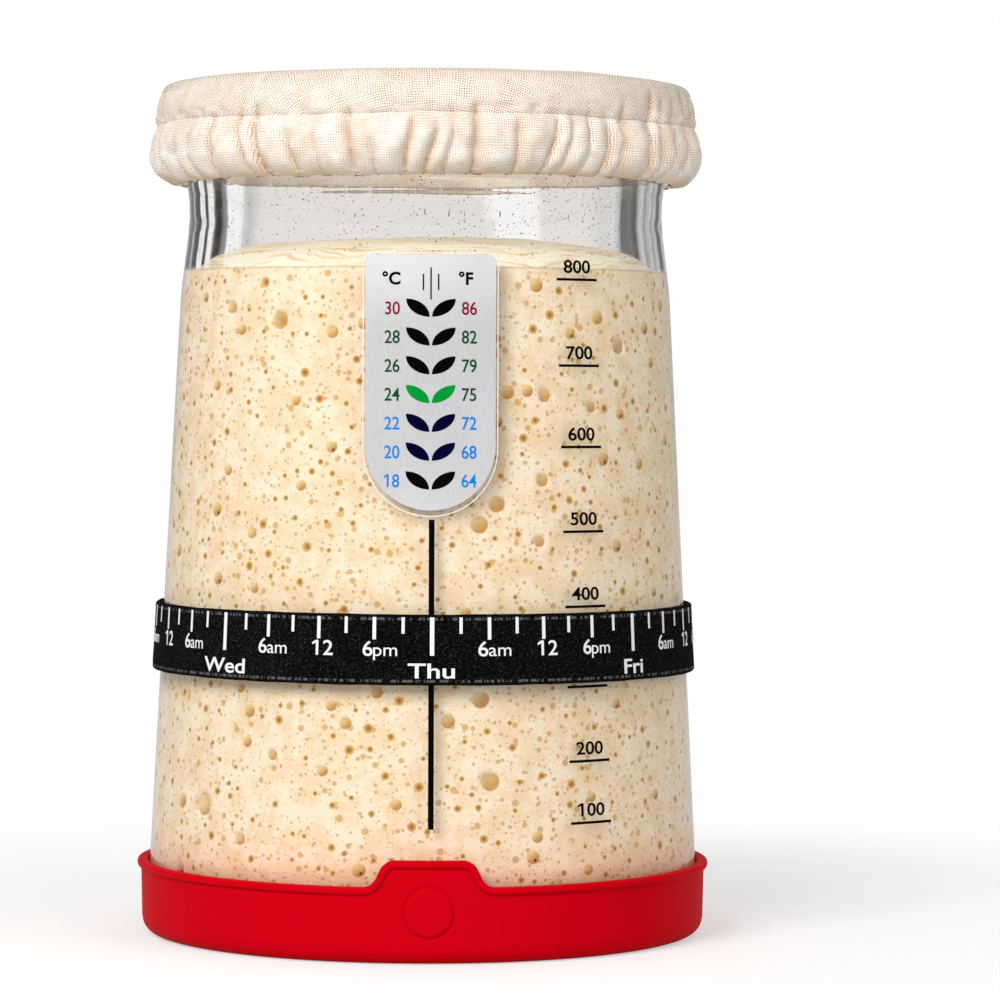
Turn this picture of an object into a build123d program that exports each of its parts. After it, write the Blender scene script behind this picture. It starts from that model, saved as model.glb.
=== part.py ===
from build123d import *
from math import atan2, cos, degrees, pi, radians, sin, tan
import os

# A sourdough starter jar: a round glass jar that narrows upwards to a waist and a flared lip, filled
# with risen starter. It stands in a shallow silicone boot, and carries a stick-on leaf thermometer,
# an elastic feeding band that turns round the glass, and a cloth cover gathered under the lip.
# Millimetres. +Z is up, the origin is at the centre of the boot's underside, and -Y is the front.

# Fits and cuts, shared by all the pieces
fit_gap = 0.3
overrun = 1.0
full_turn = 360

# Silicone boot: a cup with a proud bead along its rim, which climbs over a pull tab at the front
boot_floor = 1.8
boot_wall = 1.4
boot_draft = 0.3
boot_corner = 4.0
boot_height = 14.2
bead_height = 1.4
bead_width = 0.7
tab_rise = 5.0
tab_top_width = 16.4
tab_slope = 2.3
tab_round = 3.0
pad_radius = 4.3
pad_height = 9.5
pad_rise = 0.4

# Glass jar. From its foot its side tapers to the shoulder, draws in to the waist, opens to the throat
# and flares to the lip. These are its corners before they are rounded, and each size but the foot's
# is the step from one to the next.
jar_height = 162.1
glass_wall = 2.4
glass_floor = 5.0
foot_radius = 53.75
foot_ring = 5.0
heel_round = 12.0
punt_depth = 2.0
taper_width = 6.31
shoulder_round = 45.0
shoulder_width = 2.01
shoulder_length = 16.1
waist_round = 33.0
neck_width = 1.57
neck_length = 8.9
throat_round = 6.0
flare_width = 4.3
flare_length = 5.6
lip_depth = 9.3
lip_width = 5.3
lip_round = 2.0
lip_bevel = 0.8

# Starter: it fills the glass up to the headspace, and crowns into it
starter_gap = 0.1
headspace = 36.1
crest_height = 6.2
crest_radius_share = 0.62
crest_rise_share = 0.8

# Leaf thermometer on the glass: a clear carrier film, a silvered face with leaf windows, and a pair
# of leaf-shaped cells for each temperature. Widths are those seen from the front.
glue_line = 0.1
film_thickness = 0.25
film_margin = 0.5
film_foot_margin = 1.2
face_thickness = 0.3
face_width = 24.0
face_height = 46.9
face_drop = 33.9
face_corner = 1.5
leaf_width = 4.4
leaf_height = 3.4
leaf_split = 0.37
leaf_pitch = 5.28
leaf_first = 3.8
leaf_clearance = 0.04
cell_temperatures = (18, 20, 22, 24, 26, 28, 30)

# Feeding band: one strip of elastic whose ends are lapped and sewn at the back
band_drop = 19.0
band_height = 13.0
band_thickness = 1.25
band_edge = 0.35
lap_length = 9.0
lap_thickness = 1.1

# Cloth cover: a crown over the lip, and a gathered hem that holds a flat elastic round the throat
cloth = 0.7
crown_round = 3.0
crown_drop = 9.1
hem_height = 11.5
hem_swell = 0.9
hem_folds = 39
fold_depth = 1.3
elastic_width = 3.0
elastic_thickness = 0.8
elastic_lift = 1.3
elastic_clearance = 0.15
fold_width_shares = (1.15, 0.8, 1.05, 0.9, 1.25, 0.75, 1.0, 0.85, 1.1, 0.95, 1.2)
fold_depth_shares = (1.0, 0.7, 0.9, 0.6, 0.8)
# Each level of the hem: its height, its swelling out from the mouth, and the depth of its folds
hem_level_shares = ((0.0, 0.0, 0.3), (0.22, 0.64, 0.8), (0.6, 1.0, 1.0))
seam_depth_share = 0.35

# Heights above the boot's underside and radii that follow from the sizes above
jar_bottom = boot_floor
jar_top = jar_bottom + jar_height
lip_under = jar_top - lip_depth
throat_z = lip_under - flare_length
waist_z = throat_z - neck_length
shoulder_z = waist_z - shoulder_length
shoulder_radius = foot_radius - taper_width
waist_radius = shoulder_radius - shoulder_width
throat_radius = waist_radius + neck_width
lip_radius = throat_radius + flare_width
mouth_radius = lip_radius - lip_width
glass_taper = taper_width / (shoulder_z - jar_bottom)
starter_level = jar_top - headspace
boot_inner = foot_radius - glass_taper * heel_round + fit_gap
boot_outer = boot_inner + boot_wall
bead_outer = boot_outer + bead_width
tab_top = boot_height + tab_rise
reach = bead_outer + overrun
punt_radius = foot_radius - heel_round - foot_ring
face_bottom = jar_top - face_drop - face_height
band_top = face_bottom - band_drop
band_bottom = band_top - band_height
crown_inner = lip_radius + fit_gap
crown_outer = crown_inner + cloth
crown_top = jar_top + fit_gap + cloth
seam_z = crown_top - crown_drop
hem_bottom = seam_z - hem_height
hem_bore = throat_radius + fit_gap
hem_mouth = hem_bore + cloth + fold_depth * seam_depth_share
hem_widest = crown_outer + hem_swell
elastic_inner = hem_bore + cloth + elastic_clearance
elastic_bottom = hem_bottom + elastic_lift
front = Plane.XZ


def wall_radius(height):
    """Outside radius of the glass on its straight taper, at a height above the boot's underside."""
    return foot_radius - glass_taper * (height - jar_bottom)


def side_corners(inset, bottom):
    """Corners of the glass's side from the axis at its floor up to the throat, moved inwards."""
    return [
        (0, bottom),
        (wall_radius(bottom) - inset, bottom),
        (shoulder_radius - inset, shoulder_z),
        (waist_radius - inset, waist_z),
        (throat_radius - inset, throat_z),
    ]


def hollow_edge(inset):
    """Edge of the hollow of the glass, moved inwards, closed along the axis and past the lip."""
    floor = jar_bottom + glass_floor + inset
    past_lip = jar_top + overrun
    mouth = [(mouth_radius - inset, jar_top), (mouth_radius - inset, past_lip), (0, past_lip)]
    heel = heel_round - glass_wall - inset
    radii = [heel, shoulder_round, waist_round, throat_round, 0, 0]
    FilletPolyline(*side_corners(glass_wall + inset, floor), *mouth, radius=radii)
    Line((0, past_lip), (0, floor))


def rim_edge(inset):
    """Edge of the boot's rim seen from the front, from left to right over the tab, moved inwards."""
    shift = inset * tan(atan2(tab_rise, tab_slope) / 2)
    crest = tab_top_width / 2 - shift
    foot = tab_top_width / 2 + tab_slope - shift
    low, high = boot_height - inset, tab_top - inset
    corners = [(-foot, low), (-crest, high), (crest, high), (foot, low)]
    hollow, round_over = tab_round + inset, tab_round - inset
    radii = [hollow, round_over, round_over, hollow]
    FilletPolyline((-reach, low), *corners, (reach, low), radius=radii)


def rim_block(inset):
    """Block as wide as the boot, whose top follows the rim edge at the front and is level behind."""
    low = boot_height - inset
    with BuildPart() as block:
        with BuildSketch(front):
            with BuildLine():
                rim_edge(inset)
                Polyline((reach, low), (reach, 0), (-reach, 0), (-reach, low))
            make_face()
        extrude(amount=reach)
        with BuildSketch(front):
            with BuildLine():
                Polyline((-reach, 0), (reach, 0), (reach, low), (-reach, low), close=True)
            make_face()
        extrude(amount=-reach)
    return block.part


def glass_skin(gap, thickness, outline):
    """A skin that lies on the glass at a gap, and is cut to an outline seen from the front."""
    with BuildPart() as skin:
        with BuildSketch(front):
            for grow, mode in ((gap + thickness, Mode.ADD), (gap, Mode.SUBTRACT)):
                with BuildLine():
                    radii = [heel_round + grow, shoulder_round, waist_round, 0]
                    corners = side_corners(-grow, jar_bottom - grow)
                    FilletPolyline(*corners, (0, throat_z), radius=radii)
                    Line((0, throat_z), (0, jar_bottom - grow))
                make_face(mode=mode)
        revolve(axis=Axis.Z)
        extrude(outline, amount=reach, mode=Mode.INTERSECT)
    return skin.part


def strip_outline(margin, foot_margin):
    """Outline of the thermometer seen from the front: a round foot, and small corners at the top."""
    half = face_width / 2 + margin
    top = face_bottom + face_height + margin
    foot = face_bottom - foot_margin
    with BuildSketch(front) as outline:
        with BuildLine():
            ThreePointArc((-half, foot + half), (0, foot), (half, foot + half))
            Polyline((half, foot + half), (half, top), (-half, top), (-half, foot + half))
        make_face()
        fillet(outline.vertices().group_by(Axis.Y)[-1], face_corner + margin)
    return outline.sketch


def leaf_pair(row, grow):
    """Two mirrored leaves of a row seen from the front, each between two quarter-round arcs."""
    low = face_bottom + leaf_first + row * leaf_pitch - grow
    high = low + leaf_height + 2 * grow
    near = leaf_split / 2 - grow
    far = near + leaf_width + 2 * grow
    quarter_share = sin(pi / 4)
    with BuildSketch(front) as leaves:
        with BuildLine():
            upper = (far - quarter_share * (far - near), low + quarter_share * (high - low))
            lower = (near + quarter_share * (far - near), high - quarter_share * (high - low))
            ThreePointArc((far, high), upper, (near, low))
            ThreePointArc((near, low), lower, (far, high))
        make_face()
        mirror(about=Plane.YZ)
    return leaves.sketch


def band_layer(start, arc, thickness):
    """A layer of the band on the glass, over an arc in degrees, with its edges eased."""
    inner, outer = fit_gap, fit_gap + thickness
    turned = Plane((0, 0, 0), (cos(start), sin(start), 0), (sin(start), -cos(start), 0))
    with BuildSketch(turned) as section:
        with BuildLine():
            Polyline(
                (wall_radius(band_bottom) + inner, band_bottom),
                (wall_radius(band_bottom) + outer, band_bottom),
                (wall_radius(band_top) + outer, band_top),
                (wall_radius(band_top) + inner, band_top),
                close=True,
            )
        make_face()
        chamfer(section.vertices(), band_edge)
    revolve(section.sketch, axis=Axis.Z, revolution_arc=arc)


def gathered_edge(radius, depth):
    """Closed edge of one level of the hem: a round ridge for each fold, between pinched valleys."""
    widths = [fold_width_shares[fold % len(fold_width_shares)] for fold in range(hem_folds)]
    depths = [fold_depth_shares[fold % len(fold_depth_shares)] for fold in range(hem_folds)]
    turn = radians(full_turn) / sum(widths)
    start = 0
    for fold, width in enumerate(widths):
        end = start + width * turn
        next_depth = depths[(fold + 1) % hem_folds]
        places = [
            (radius - depth * depths[fold], start),
            (radius, (start + end) / 2),
            (radius - depth * next_depth, end),
        ]
        ThreePointArc(*[(size * cos(angle), size * sin(angle)) for size, angle in places])
        start = end


# Silicone boot
with BuildPart() as drafted_wall:
    with BuildSketch(front) as wall_section:
        with BuildLine():
            Polyline(
                (0, 0),
                (boot_outer - boot_draft, 0),
                (boot_outer, boot_height),
                (boot_outer, tab_top),
                (0, tab_top),
                close=True,
            )
        make_face()
        fillet(wall_section.vertices().group_by(Axis.Y)[0].sort_by(Axis.X)[-1], boot_corner)
    revolve(axis=Axis.Z)

with BuildPart() as beyond_wall:
    add(rim_block(bead_height))
    add(drafted_wall.part, mode=Mode.SUBTRACT)

with BuildPart() as thumb_pad:
    with BuildSketch(front):
        with Locations((0, pad_height)):
            Circle(pad_radius)
    extrude(amount=reach)
    with BuildSketch():
        Circle(boot_outer + pad_rise)
    extrude(amount=tab_top, mode=Mode.INTERSECT)

with BuildPart() as silicone_boot:
    add(rim_block(0))
    with BuildSketch():
        Circle(bead_outer)
    extrude(amount=tab_top, mode=Mode.INTERSECT)
    add(beyond_wall.part, mode=Mode.SUBTRACT)
    add(thumb_pad.part)
    with BuildSketch(front) as boot_hollow:
        with BuildLine():
            Polyline(
                (0, boot_floor),
                (boot_inner, boot_floor),
                (boot_inner, tab_top + overrun),
                (0, tab_top + overrun),
                close=True,
            )
        make_face()
        corner = boot_hollow.vertices().group_by(Axis.Y)[0].sort_by(Axis.X)[-1]
        chamfer(corner, boot_corner - boot_wall)
    revolve(axis=Axis.Z, mode=Mode.SUBTRACT)
silicone_boot.part.label = "silicone_boot"

# Glass jar
with BuildPart() as glass_jar:
    with BuildSketch(front) as glass_section:
        with BuildLine():
            lip = [(lip_radius, lip_under), (lip_radius, jar_top), (0, jar_top)]
            radii = [heel_round, shoulder_round, waist_round, throat_round, 0, lip_round]
            FilletPolyline(*side_corners(0, jar_bottom), *lip, radius=radii)
            Line((0, jar_top), (0, jar_bottom))
        make_face()
        with BuildLine():
            hollow_edge(0)
        make_face(mode=Mode.SUBTRACT)
        for place in ((lip_radius, lip_under), (mouth_radius, jar_top)):
            chamfer(glass_section.vertices().sort_by_distance(place)[0], lip_bevel)
        with BuildLine():
            TangentArc((0, jar_bottom + punt_depth), (punt_radius, jar_bottom), tangent=(1, 0))
            Polyline((punt_radius, jar_bottom), (0, jar_bottom), (0, jar_bottom + punt_depth))
        make_face(mode=Mode.SUBTRACT)
    revolve(axis=Axis.Z)
glass_jar.part.label = "glass_jar"

# Starter
with BuildPart() as sourdough_starter:
    with BuildSketch(front):
        with BuildLine():
            hollow_edge(starter_gap)
        make_face()
        with BuildLine():
            level_radius = wall_radius(starter_level) - glass_wall
            crown_rise = starter_level + crest_rise_share * crest_height
            crown_edge = (crest_radius_share * level_radius, crown_rise)
            crest_top = (0, starter_level + crest_height)
            crest = TangentArc(crest_top, crown_edge, tangent=(1, 0))
            slope = TangentArc(crest @ 1, (level_radius, starter_level), tangent=crest % 1)
            Polyline(
                slope @ 1,
                (foot_radius, starter_level),
                (foot_radius, 0),
                (0, 0),
                crest_top,
            )
        make_face(mode=Mode.INTERSECT)
    revolve(axis=Axis.Z)
sourdough_starter.part.label = "sourdough_starter"

# Leaf thermometer
film_outline = strip_outline(film_margin, film_foot_margin)
thermometer_film = glass_skin(glue_line, film_thickness, film_outline)
thermometer_film.label = "thermometer_film"

with BuildPart() as thermometer_face:
    add(glass_skin(glue_line + film_thickness, face_thickness, strip_outline(0, 0)))
    for row in range(len(cell_temperatures)):
        extrude(leaf_pair(row, 0), amount=reach, mode=Mode.SUBTRACT)
thermometer_face.part.label = "thermometer_face"

cells = []
for row, temperature in enumerate(cell_temperatures):
    outline = leaf_pair(row, -leaf_clearance)
    cell = glass_skin(glue_line + film_thickness, face_thickness, outline)
    cell.label = f"cell_{temperature}c"
    cells.append(cell)

# Feeding band, with its lapped ends at the back
with BuildPart() as feeding_band:
    band_layer(0, full_turn, band_thickness)
    lap_turn = lap_length / wall_radius(band_bottom)
    band_layer(pi / 2 - lap_turn / 2, degrees(lap_turn), band_thickness + lap_thickness)
feeding_band.part.label = "feeding_band"

# Cloth cover
with BuildPart() as cover_crown:
    with BuildSketch(front) as crown_section:
        with BuildLine():
            Polyline(
                (0, crown_top),
                (crown_outer, crown_top),
                (crown_outer, seam_z),
                (crown_inner, seam_z),
                (crown_inner, crown_top - cloth),
                (0, crown_top - cloth),
                close=True,
            )
        make_face()
        corners = crown_section.vertices()
        fillet(corners.sort_by_distance((crown_outer, crown_top))[0], crown_round)
        corners = crown_section.vertices()
        fillet(corners.sort_by_distance((crown_inner, crown_top - cloth))[0], crown_round - cloth)
    revolve(axis=Axis.Z)
cover_crown.part.label = "cover_crown"

with BuildPart() as cover_hem:
    for height_share, swell_share, depth_share in hem_level_shares:
        with BuildSketch(Plane.XY.offset(hem_bottom + height_share * hem_height)):
            with BuildLine():
                swell = swell_share * (hem_widest - hem_mouth)
                gathered_edge(hem_mouth + swell, depth_share * fold_depth)
            make_face()
    with BuildSketch(Plane.XY.offset(seam_z)):
        with BuildLine():
            gathered_edge(crown_outer, seam_depth_share * fold_depth)
        make_face()
    loft()
    with BuildSketch(front):
        with BuildLine():
            past_seam, past_mouth = seam_z + overrun, hem_bottom - overrun
            bore = [
                (0, past_mouth),
                (hem_bore, past_mouth),
                (hem_bore, throat_z - fit_gap),
                (crown_inner, lip_under - fit_gap),
                (crown_inner, past_seam),
                (0, past_seam),
            ]
            FilletPolyline(*bore, radius=[0, throat_round - fit_gap, 0, 0])
            Line((0, past_seam), (0, past_mouth))
        make_face()
    revolve(axis=Axis.Z, mode=Mode.SUBTRACT)
    with BuildSketch(front):
        with Locations((elastic_inner - elastic_clearance, elastic_bottom - elastic_clearance)):
            slack = 2 * elastic_clearance
            corner = (Align.MIN, Align.MIN)
            Rectangle(elastic_thickness + slack, elastic_width + slack, align=corner)
    revolve(axis=Axis.Z, mode=Mode.SUBTRACT)
cover_hem.part.label = "cover_hem"

with BuildPart() as cover_elastic:
    with BuildSketch(front):
        with Locations((elastic_inner, elastic_bottom)):
            Rectangle(elastic_thickness, elastic_width, align=(Align.MIN, Align.MIN))
    revolve(axis=Axis.Z)
cover_elastic.part.label = "cover_elastic"

# One STEP file for each piece
pieces = [
    silicone_boot.part,
    glass_jar.part,
    sourdough_starter.part,
    thermometer_film,
    thermometer_face.part,
    *cells,
    feeding_band.part,
    cover_crown.part,
    cover_hem.part,
    cover_elastic.part,
]
os.makedirs("parts", exist_ok=True)
for piece in pieces:
    export_step(piece, f"parts/{piece.label}.step")
    print(piece.label, len(piece.solids()), "solids")
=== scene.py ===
from math import atan, cos, pi, radians, sin, tan

import bmesh
import bpy
import numpy as np
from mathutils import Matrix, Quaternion, Vector


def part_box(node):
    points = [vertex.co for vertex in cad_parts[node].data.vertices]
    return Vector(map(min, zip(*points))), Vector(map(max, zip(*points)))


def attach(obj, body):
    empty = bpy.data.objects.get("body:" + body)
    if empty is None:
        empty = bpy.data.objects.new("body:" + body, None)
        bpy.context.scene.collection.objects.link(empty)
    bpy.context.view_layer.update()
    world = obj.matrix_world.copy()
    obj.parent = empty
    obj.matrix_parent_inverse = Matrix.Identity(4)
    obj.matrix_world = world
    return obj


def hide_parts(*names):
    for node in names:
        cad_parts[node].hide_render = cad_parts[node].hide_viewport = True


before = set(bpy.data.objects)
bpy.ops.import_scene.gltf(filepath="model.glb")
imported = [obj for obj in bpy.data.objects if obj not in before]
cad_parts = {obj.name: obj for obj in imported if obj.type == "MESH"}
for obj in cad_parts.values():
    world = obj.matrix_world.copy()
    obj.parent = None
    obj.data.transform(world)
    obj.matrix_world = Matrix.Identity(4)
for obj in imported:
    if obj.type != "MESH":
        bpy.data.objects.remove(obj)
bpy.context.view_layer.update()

# Sizes are in millimetres, and finishMesh turns them into metres. The front of the jar is -Y,
# and an azimuth is counted from the front, to the right.
mm = 0.001
bpy.context.scene.view_settings.view_transform = "Standard"


def boxHeights(node):
    # Lowest and highest point of a CAD node, in millimetres
    low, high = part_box(node)
    return low.z / mm, high.z / mm


bootHeights = boxHeights("silicone_boot")
jarHeights = boxHeights("glass_jar")
bandHeights = boxHeights("feeding_band")
faceHeights = boxHeights("thermometer_face")
starterHeights = boxHeights("sourdough_starter")


# Shapes


def roundedPath(corners, radii, turnStep=7):
    # A run of straight legs in which each inner corner is an arc that touches both of its legs.
    # The arc starts radius * tan(half turn) before the corner.
    runs = [np.array([corners[0]], float)]
    for before, corner, after, radius in zip(corners, corners[1:], corners[2:], radii):
        corner = np.array(corner, float)
        comeIn = corner - before
        goOut = np.array(after, float) - corner
        comeIn, goOut = comeIn / np.hypot(*comeIn), goOut / np.hypot(*goOut)
        side = comeIn[0] * goOut[1] - comeIn[1] * goOut[0]
        turn = np.arctan2(side, comeIn @ goOut)
        if radius == 0 or abs(turn) < 1e-6:
            runs.append(corner[None])
            continue
        start = corner - comeIn * radius * tan(abs(turn) / 2)
        inward = np.sign(turn) * np.array([-comeIn[1], comeIn[0]])
        angle = np.linspace(0, abs(turn), max(3, int(abs(turn) / radians(turnStep)) + 2))
        runs.append(
            start
            + radius * np.sin(angle)[:, None] * comeIn
            + radius * (1 - np.cos(angle))[:, None] * inward
        )
    runs.append(np.array([corners[-1]], float))
    return np.concatenate(runs)


def spacedPath(path, step):
    # The same path with more points, so that no two are further apart than the step
    along = np.concatenate([[0], np.cumsum(np.hypot(*np.diff(path, axis=0).T))])
    places = np.union1d(along, np.linspace(0, along[-1], int(along[-1] / step) + 1))
    places = places[np.concatenate([[True], np.diff(places) > 0.02])]
    return np.stack([np.interp(places, along, path[:, axis]) for axis in (0, 1)], axis=1)


def smoothPath(knots, count):
    # A smooth curve through the knots: each stretch is a cubic whose slope at a knot is half the
    # step between that knot's neighbours
    knots = np.array(knots, float)
    padded = np.concatenate([2 * knots[:1] - knots[1:2], knots, 2 * knots[-1:] - knots[-2:-1]])
    place = np.linspace(0, len(knots) - 1 - 1e-9, count)
    first = place.astype(int)
    t = (place - first)[:, None]
    a, b, c, d = (padded[first + shift] for shift in range(4))
    bent = (2 * a - 5 * b + 4 * c - d) * t**2 + (3 * b - a - 3 * c + d) * t**3
    return b + (c - a) * t / 2 + bent / 2


def softNoise(azimuth, height, turns, rise, seed):
    # Cloudy values from -1 to 1: random numbers at the corners of a grid that has so many cells
    # round the jar and whose cells are so high, with a smooth step between them
    azimuth, height = np.broadcast_arrays(np.asarray(azimuth, float), np.asarray(height, float))
    across = azimuth % (2 * pi) / (2 * pi) * turns
    up = height / rise
    lattice = np.random.default_rng(seed).uniform(-1, 1, (int(up.max()) + 2, turns))
    column, row = across.astype(int) % turns, up.astype(int)
    x, y = across - np.floor(across), up - row
    x, y = x * x * (3 - 2 * x), y * y * (3 - 2 * y)
    low = lattice[row, column] * (1 - x) + lattice[row, (column + 1) % turns] * x
    high = lattice[row + 1, column] * (1 - x) + lattice[row + 1, (column + 1) % turns] * x
    return low * (1 - y) + high * y


def allRound(count):
    # So many azimuths, evenly spaced once round
    return np.linspace(0, 2 * pi, count, endpoint=False)


def turned(radius, height, azimuth):
    # Points at a radius and a height, turned about the jar's axis by an azimuth
    radius, height, azimuth = np.broadcast_arrays(radius, height, azimuth)
    return np.stack([radius * np.sin(azimuth), -radius * np.cos(azimuth), height], axis=-1)


def inScene(name, data):
    # A new object of this data
    made = bpy.data.objects.new(name, data)
    bpy.context.scene.collection.objects.link(made)
    return made


def readAll(items, name, kind=np.int32, width=1):
    # One value, so many numbers wide, of every item of a mesh
    values = np.zeros(len(items) * width, kind)
    items.foreach_get(name, values)
    return values


def finishMesh(name, points, faces, uv=None, smooth=True):
    # Makes the object, in metres, with its faces outwards
    mesh = bpy.data.meshes.new(name)
    mesh.from_pydata(np.asarray(points) * mm, [], faces)
    if uv is not None:
        layer = mesh.uv_layers.new(name="weave")
        layer.data.foreach_set("uv", np.asarray(uv, np.float32).ravel())
    work = bmesh.new()
    work.from_mesh(mesh)
    if work.calc_volume(signed=True) < 0:
        bmesh.ops.reverse_faces(work, faces=work.faces[:])
    work.to_mesh(mesh)
    work.free()
    if smooth:
        mesh.shade_smooth()
    return inScene(name, mesh)


def ringSurface(name, grid, uvGrid=None, loop=False, smooth=True):
    # A closed surface through rings of points, each ring one row of the grid. The first and last
    # rings are closed by a flat face, or joined to each other where loop is true.
    rows, columns = grid.shape[:2]
    down, across = np.meshgrid(np.arange(rows if loop else rows - 1), np.arange(columns), indexing="ij")
    nextDown, nextAcross = (down + 1) % rows, (across + 1) % columns
    corners = ((down, across), (down, nextAcross), (nextDown, nextAcross), (nextDown, across))
    faces = np.stack([row * columns + column for row, column in corners], axis=-1).reshape(-1, 4)
    uv = None
    if uvGrid is not None:
        places = ((down, across), (down, across + 1), (nextDown, across + 1), (nextDown, across))
        uv = np.stack([uvGrid[row, column] for row, column in places], axis=2).reshape(-1, 2)
    faces = faces.tolist()
    if not loop:
        faces.append(list(range(columns))[::-1])
        faces.append(list(range((rows - 1) * columns, rows * columns)))
        if uv is not None:
            uv = np.concatenate([uv, uvGrid[0, :columns][::-1], uvGrid[-1, :columns]])
    return finishMesh(name, grid.reshape(-1, 3), faces, uv, smooth)


def lathe(name, path, columns):
    # The path of (radius, height) turned about the axis
    grid = turned(np.maximum(path[:, :1], 0.05), path[:, 1:], allRound(columns)[None])
    return ringSurface(name, grid)


def plate(name, outer, inner):
    # A thin closed piece between two sheets of points with the same rows and columns: the two
    # sheets, and a border strip that joins their edges
    rows, columns = outer.shape[:2]
    down, across = np.meshgrid(np.arange(rows - 1), np.arange(columns - 1), indexing="ij")
    start = down * columns + across
    front = np.stack([start, start + 1, start + columns + 1, start + columns], axis=-1).reshape(-1, 4)
    back = front[:, ::-1] + rows * columns
    number = np.arange(rows * columns).reshape(rows, columns)
    edge = np.concatenate([number[0, :-1], number[:-1, -1], number[-1, :0:-1], number[:0:-1, 0]])
    onward = np.roll(edge, -1)
    border = np.stack([onward, edge, edge + rows * columns, onward + rows * columns], axis=-1)
    faces = np.concatenate([front, back, border]).tolist()
    points = np.concatenate([outer.reshape(-1, 3), inner.reshape(-1, 3)])
    return finishMesh(name, points, faces, smooth=False)


def joined(name, objects):
    # Several objects made one, so that a print of one colour is one piece
    work = bmesh.new()
    for each in objects:
        work.from_mesh(each.data)
        bpy.data.objects.remove(each)
    mesh = bpy.data.meshes.new(name)
    work.to_mesh(mesh)
    work.free()
    return inScene(name, mesh)


def dress(made, body, material, *nodes, slot=None):
    # Gives a piece its finish, the body that it moves with and the CAD nodes that it stands for
    made.data.materials.clear()
    made.data.materials.append(material)
    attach(made, body)
    if nodes:
        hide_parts(*nodes)
    return made


# Finishes


def tint(red, green, blue):
    # A colour read off a screen, 0 to 255, as the shader's linear colour
    share = np.array([red, green, blue]) / 255
    linear = np.where(share < 0.04045, share / 12.92, ((share + 0.055) / 1.055) ** 2.4)
    return (*linear.tolist(), 1.0)


class Nodes:
    # Short calls for a tree of nodes. An input is a plain value or another node's output.
    def __init__(self, tree):
        self.tree = tree

    def fill(self, node, inputs):
        for place, value in inputs.items():
            if isinstance(value, bpy.types.NodeSocket):
                self.tree.links.new(value, node.inputs[place])
            else:
                node.inputs[place].default_value = value

    def node(self, kind, inputs, **settings):
        made = self.tree.nodes.new(kind)
        for setting, value in settings.items():
            setattr(made, setting, value)
        self.fill(made, inputs)
        return made

    def math(self, operation, first, second=0.0, clamp=False):
        # One sum of two values
        inputs = {0: first, 1: second}
        return self.node("ShaderNodeMath", inputs, operation=operation, use_clamp=clamp).outputs[0]

    def product(self, *values):
        # All the values multiplied
        result = values[0]
        for value in values[1:]:
            result = self.math("MULTIPLY", result, value)
        return result

    def ramp(self, value, low, high, atLow=0.0, atHigh=1.0):
        # Smooth step of a value from low to high
        inputs = {0: value, 1: low, 2: high, 3: atLow, 4: atHigh}
        return self.node("ShaderNodeMapRange", inputs, interpolation_type="SMOOTHSTEP").outputs[0]

    def between(self, value, low, lowFull, highFull, high):
        # 1 from lowFull to highFull, falling to 0 at low and at high
        return self.product(self.ramp(value, low, lowFull), self.ramp(value, high, highFull))

    def mix(self, factor, first, second, blend="MIX"):
        # The first colour where the factor is 0, the second where it is 1
        inputs = {0: factor, 6: first, 7: second}
        return self.node("ShaderNodeMix", inputs, data_type="RGBA", blend_type=blend).outputs[2]

    def place(self, scale=(1, 1, 1)):
        # The point on the piece, in millimetres, stretched by a scale
        point = self.node("ShaderNodeTexCoord", {}).outputs["Object"]
        inputs = {"Vector": point, "Scale": [share / mm for share in scale]}
        return self.node("ShaderNodeMapping", inputs).outputs[0]

    def axes(self, vector):
        # Its x, y and z
        return self.node("ShaderNodeSeparateXYZ", {0: vector}).outputs

    def combine(self, *axes):
        return self.node("ShaderNodeCombineXYZ", dict(enumerate(axes))).outputs[0]

    def length(self, *axes):
        # How long the vector of these axes is
        inputs = {0: self.combine(*axes)}
        return self.node("ShaderNodeVectorMath", inputs, operation="LENGTH").outputs["Value"]

    def noise(self, point, size, detail=2.0, roughness=0.5):
        # Cloudy values whose patches are about as wide as the size, in millimetres
        inputs = {"Vector": point, "Scale": 1 / size, "Detail": detail, "Roughness": roughness}
        return self.node("ShaderNodeTexNoise", inputs).outputs[0]

    def attribute(self, name, output):
        # A value that the mesh keeps
        return self.node("ShaderNodeAttribute", {}, attribute_name=name).outputs[output]

    def greys(self, value, stops):
        # A value turned into a grey, by the places and brightnesses of the stops
        ramp = self.node("ShaderNodeValToRGB", {"Fac": value})
        first, last = ramp.color_ramp.elements[0], ramp.color_ramp.elements[-1]
        first.position, last.position = stops[0][0], stops[-1][0]
        for place, _ in stops[1:-1]:
            ramp.color_ramp.elements.new(place)
        for element, (_, grey) in zip(ramp.color_ramp.elements, stops):
            element.color = (grey, grey, grey, 1)
        return ramp.outputs[0]

    def either(self, factor, first, second):
        # One shader where the factor is 0, the other where it is 1
        return self.node("ShaderNodeMixShader", {0: factor, 1: first, 2: second}).outputs[0]

    def clear(self):
        return self.node("ShaderNodeBsdfTransparent", {}).outputs[0]

    def glow(self, strength):
        inputs = {"Color": (1, 1, 1, 1), "Strength": strength}
        return self.node("ShaderNodeEmission", inputs).outputs[0]

    def ray(self):
        # The kinds of ray, each 1 where it is the one that looks
        return self.node("ShaderNodeLightPath", {}).outputs

    def behind(self):
        # 1 where a face is seen from its back
        return self.node("ShaderNodeNewGeometry", {}).outputs["Backfacing"]


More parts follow.
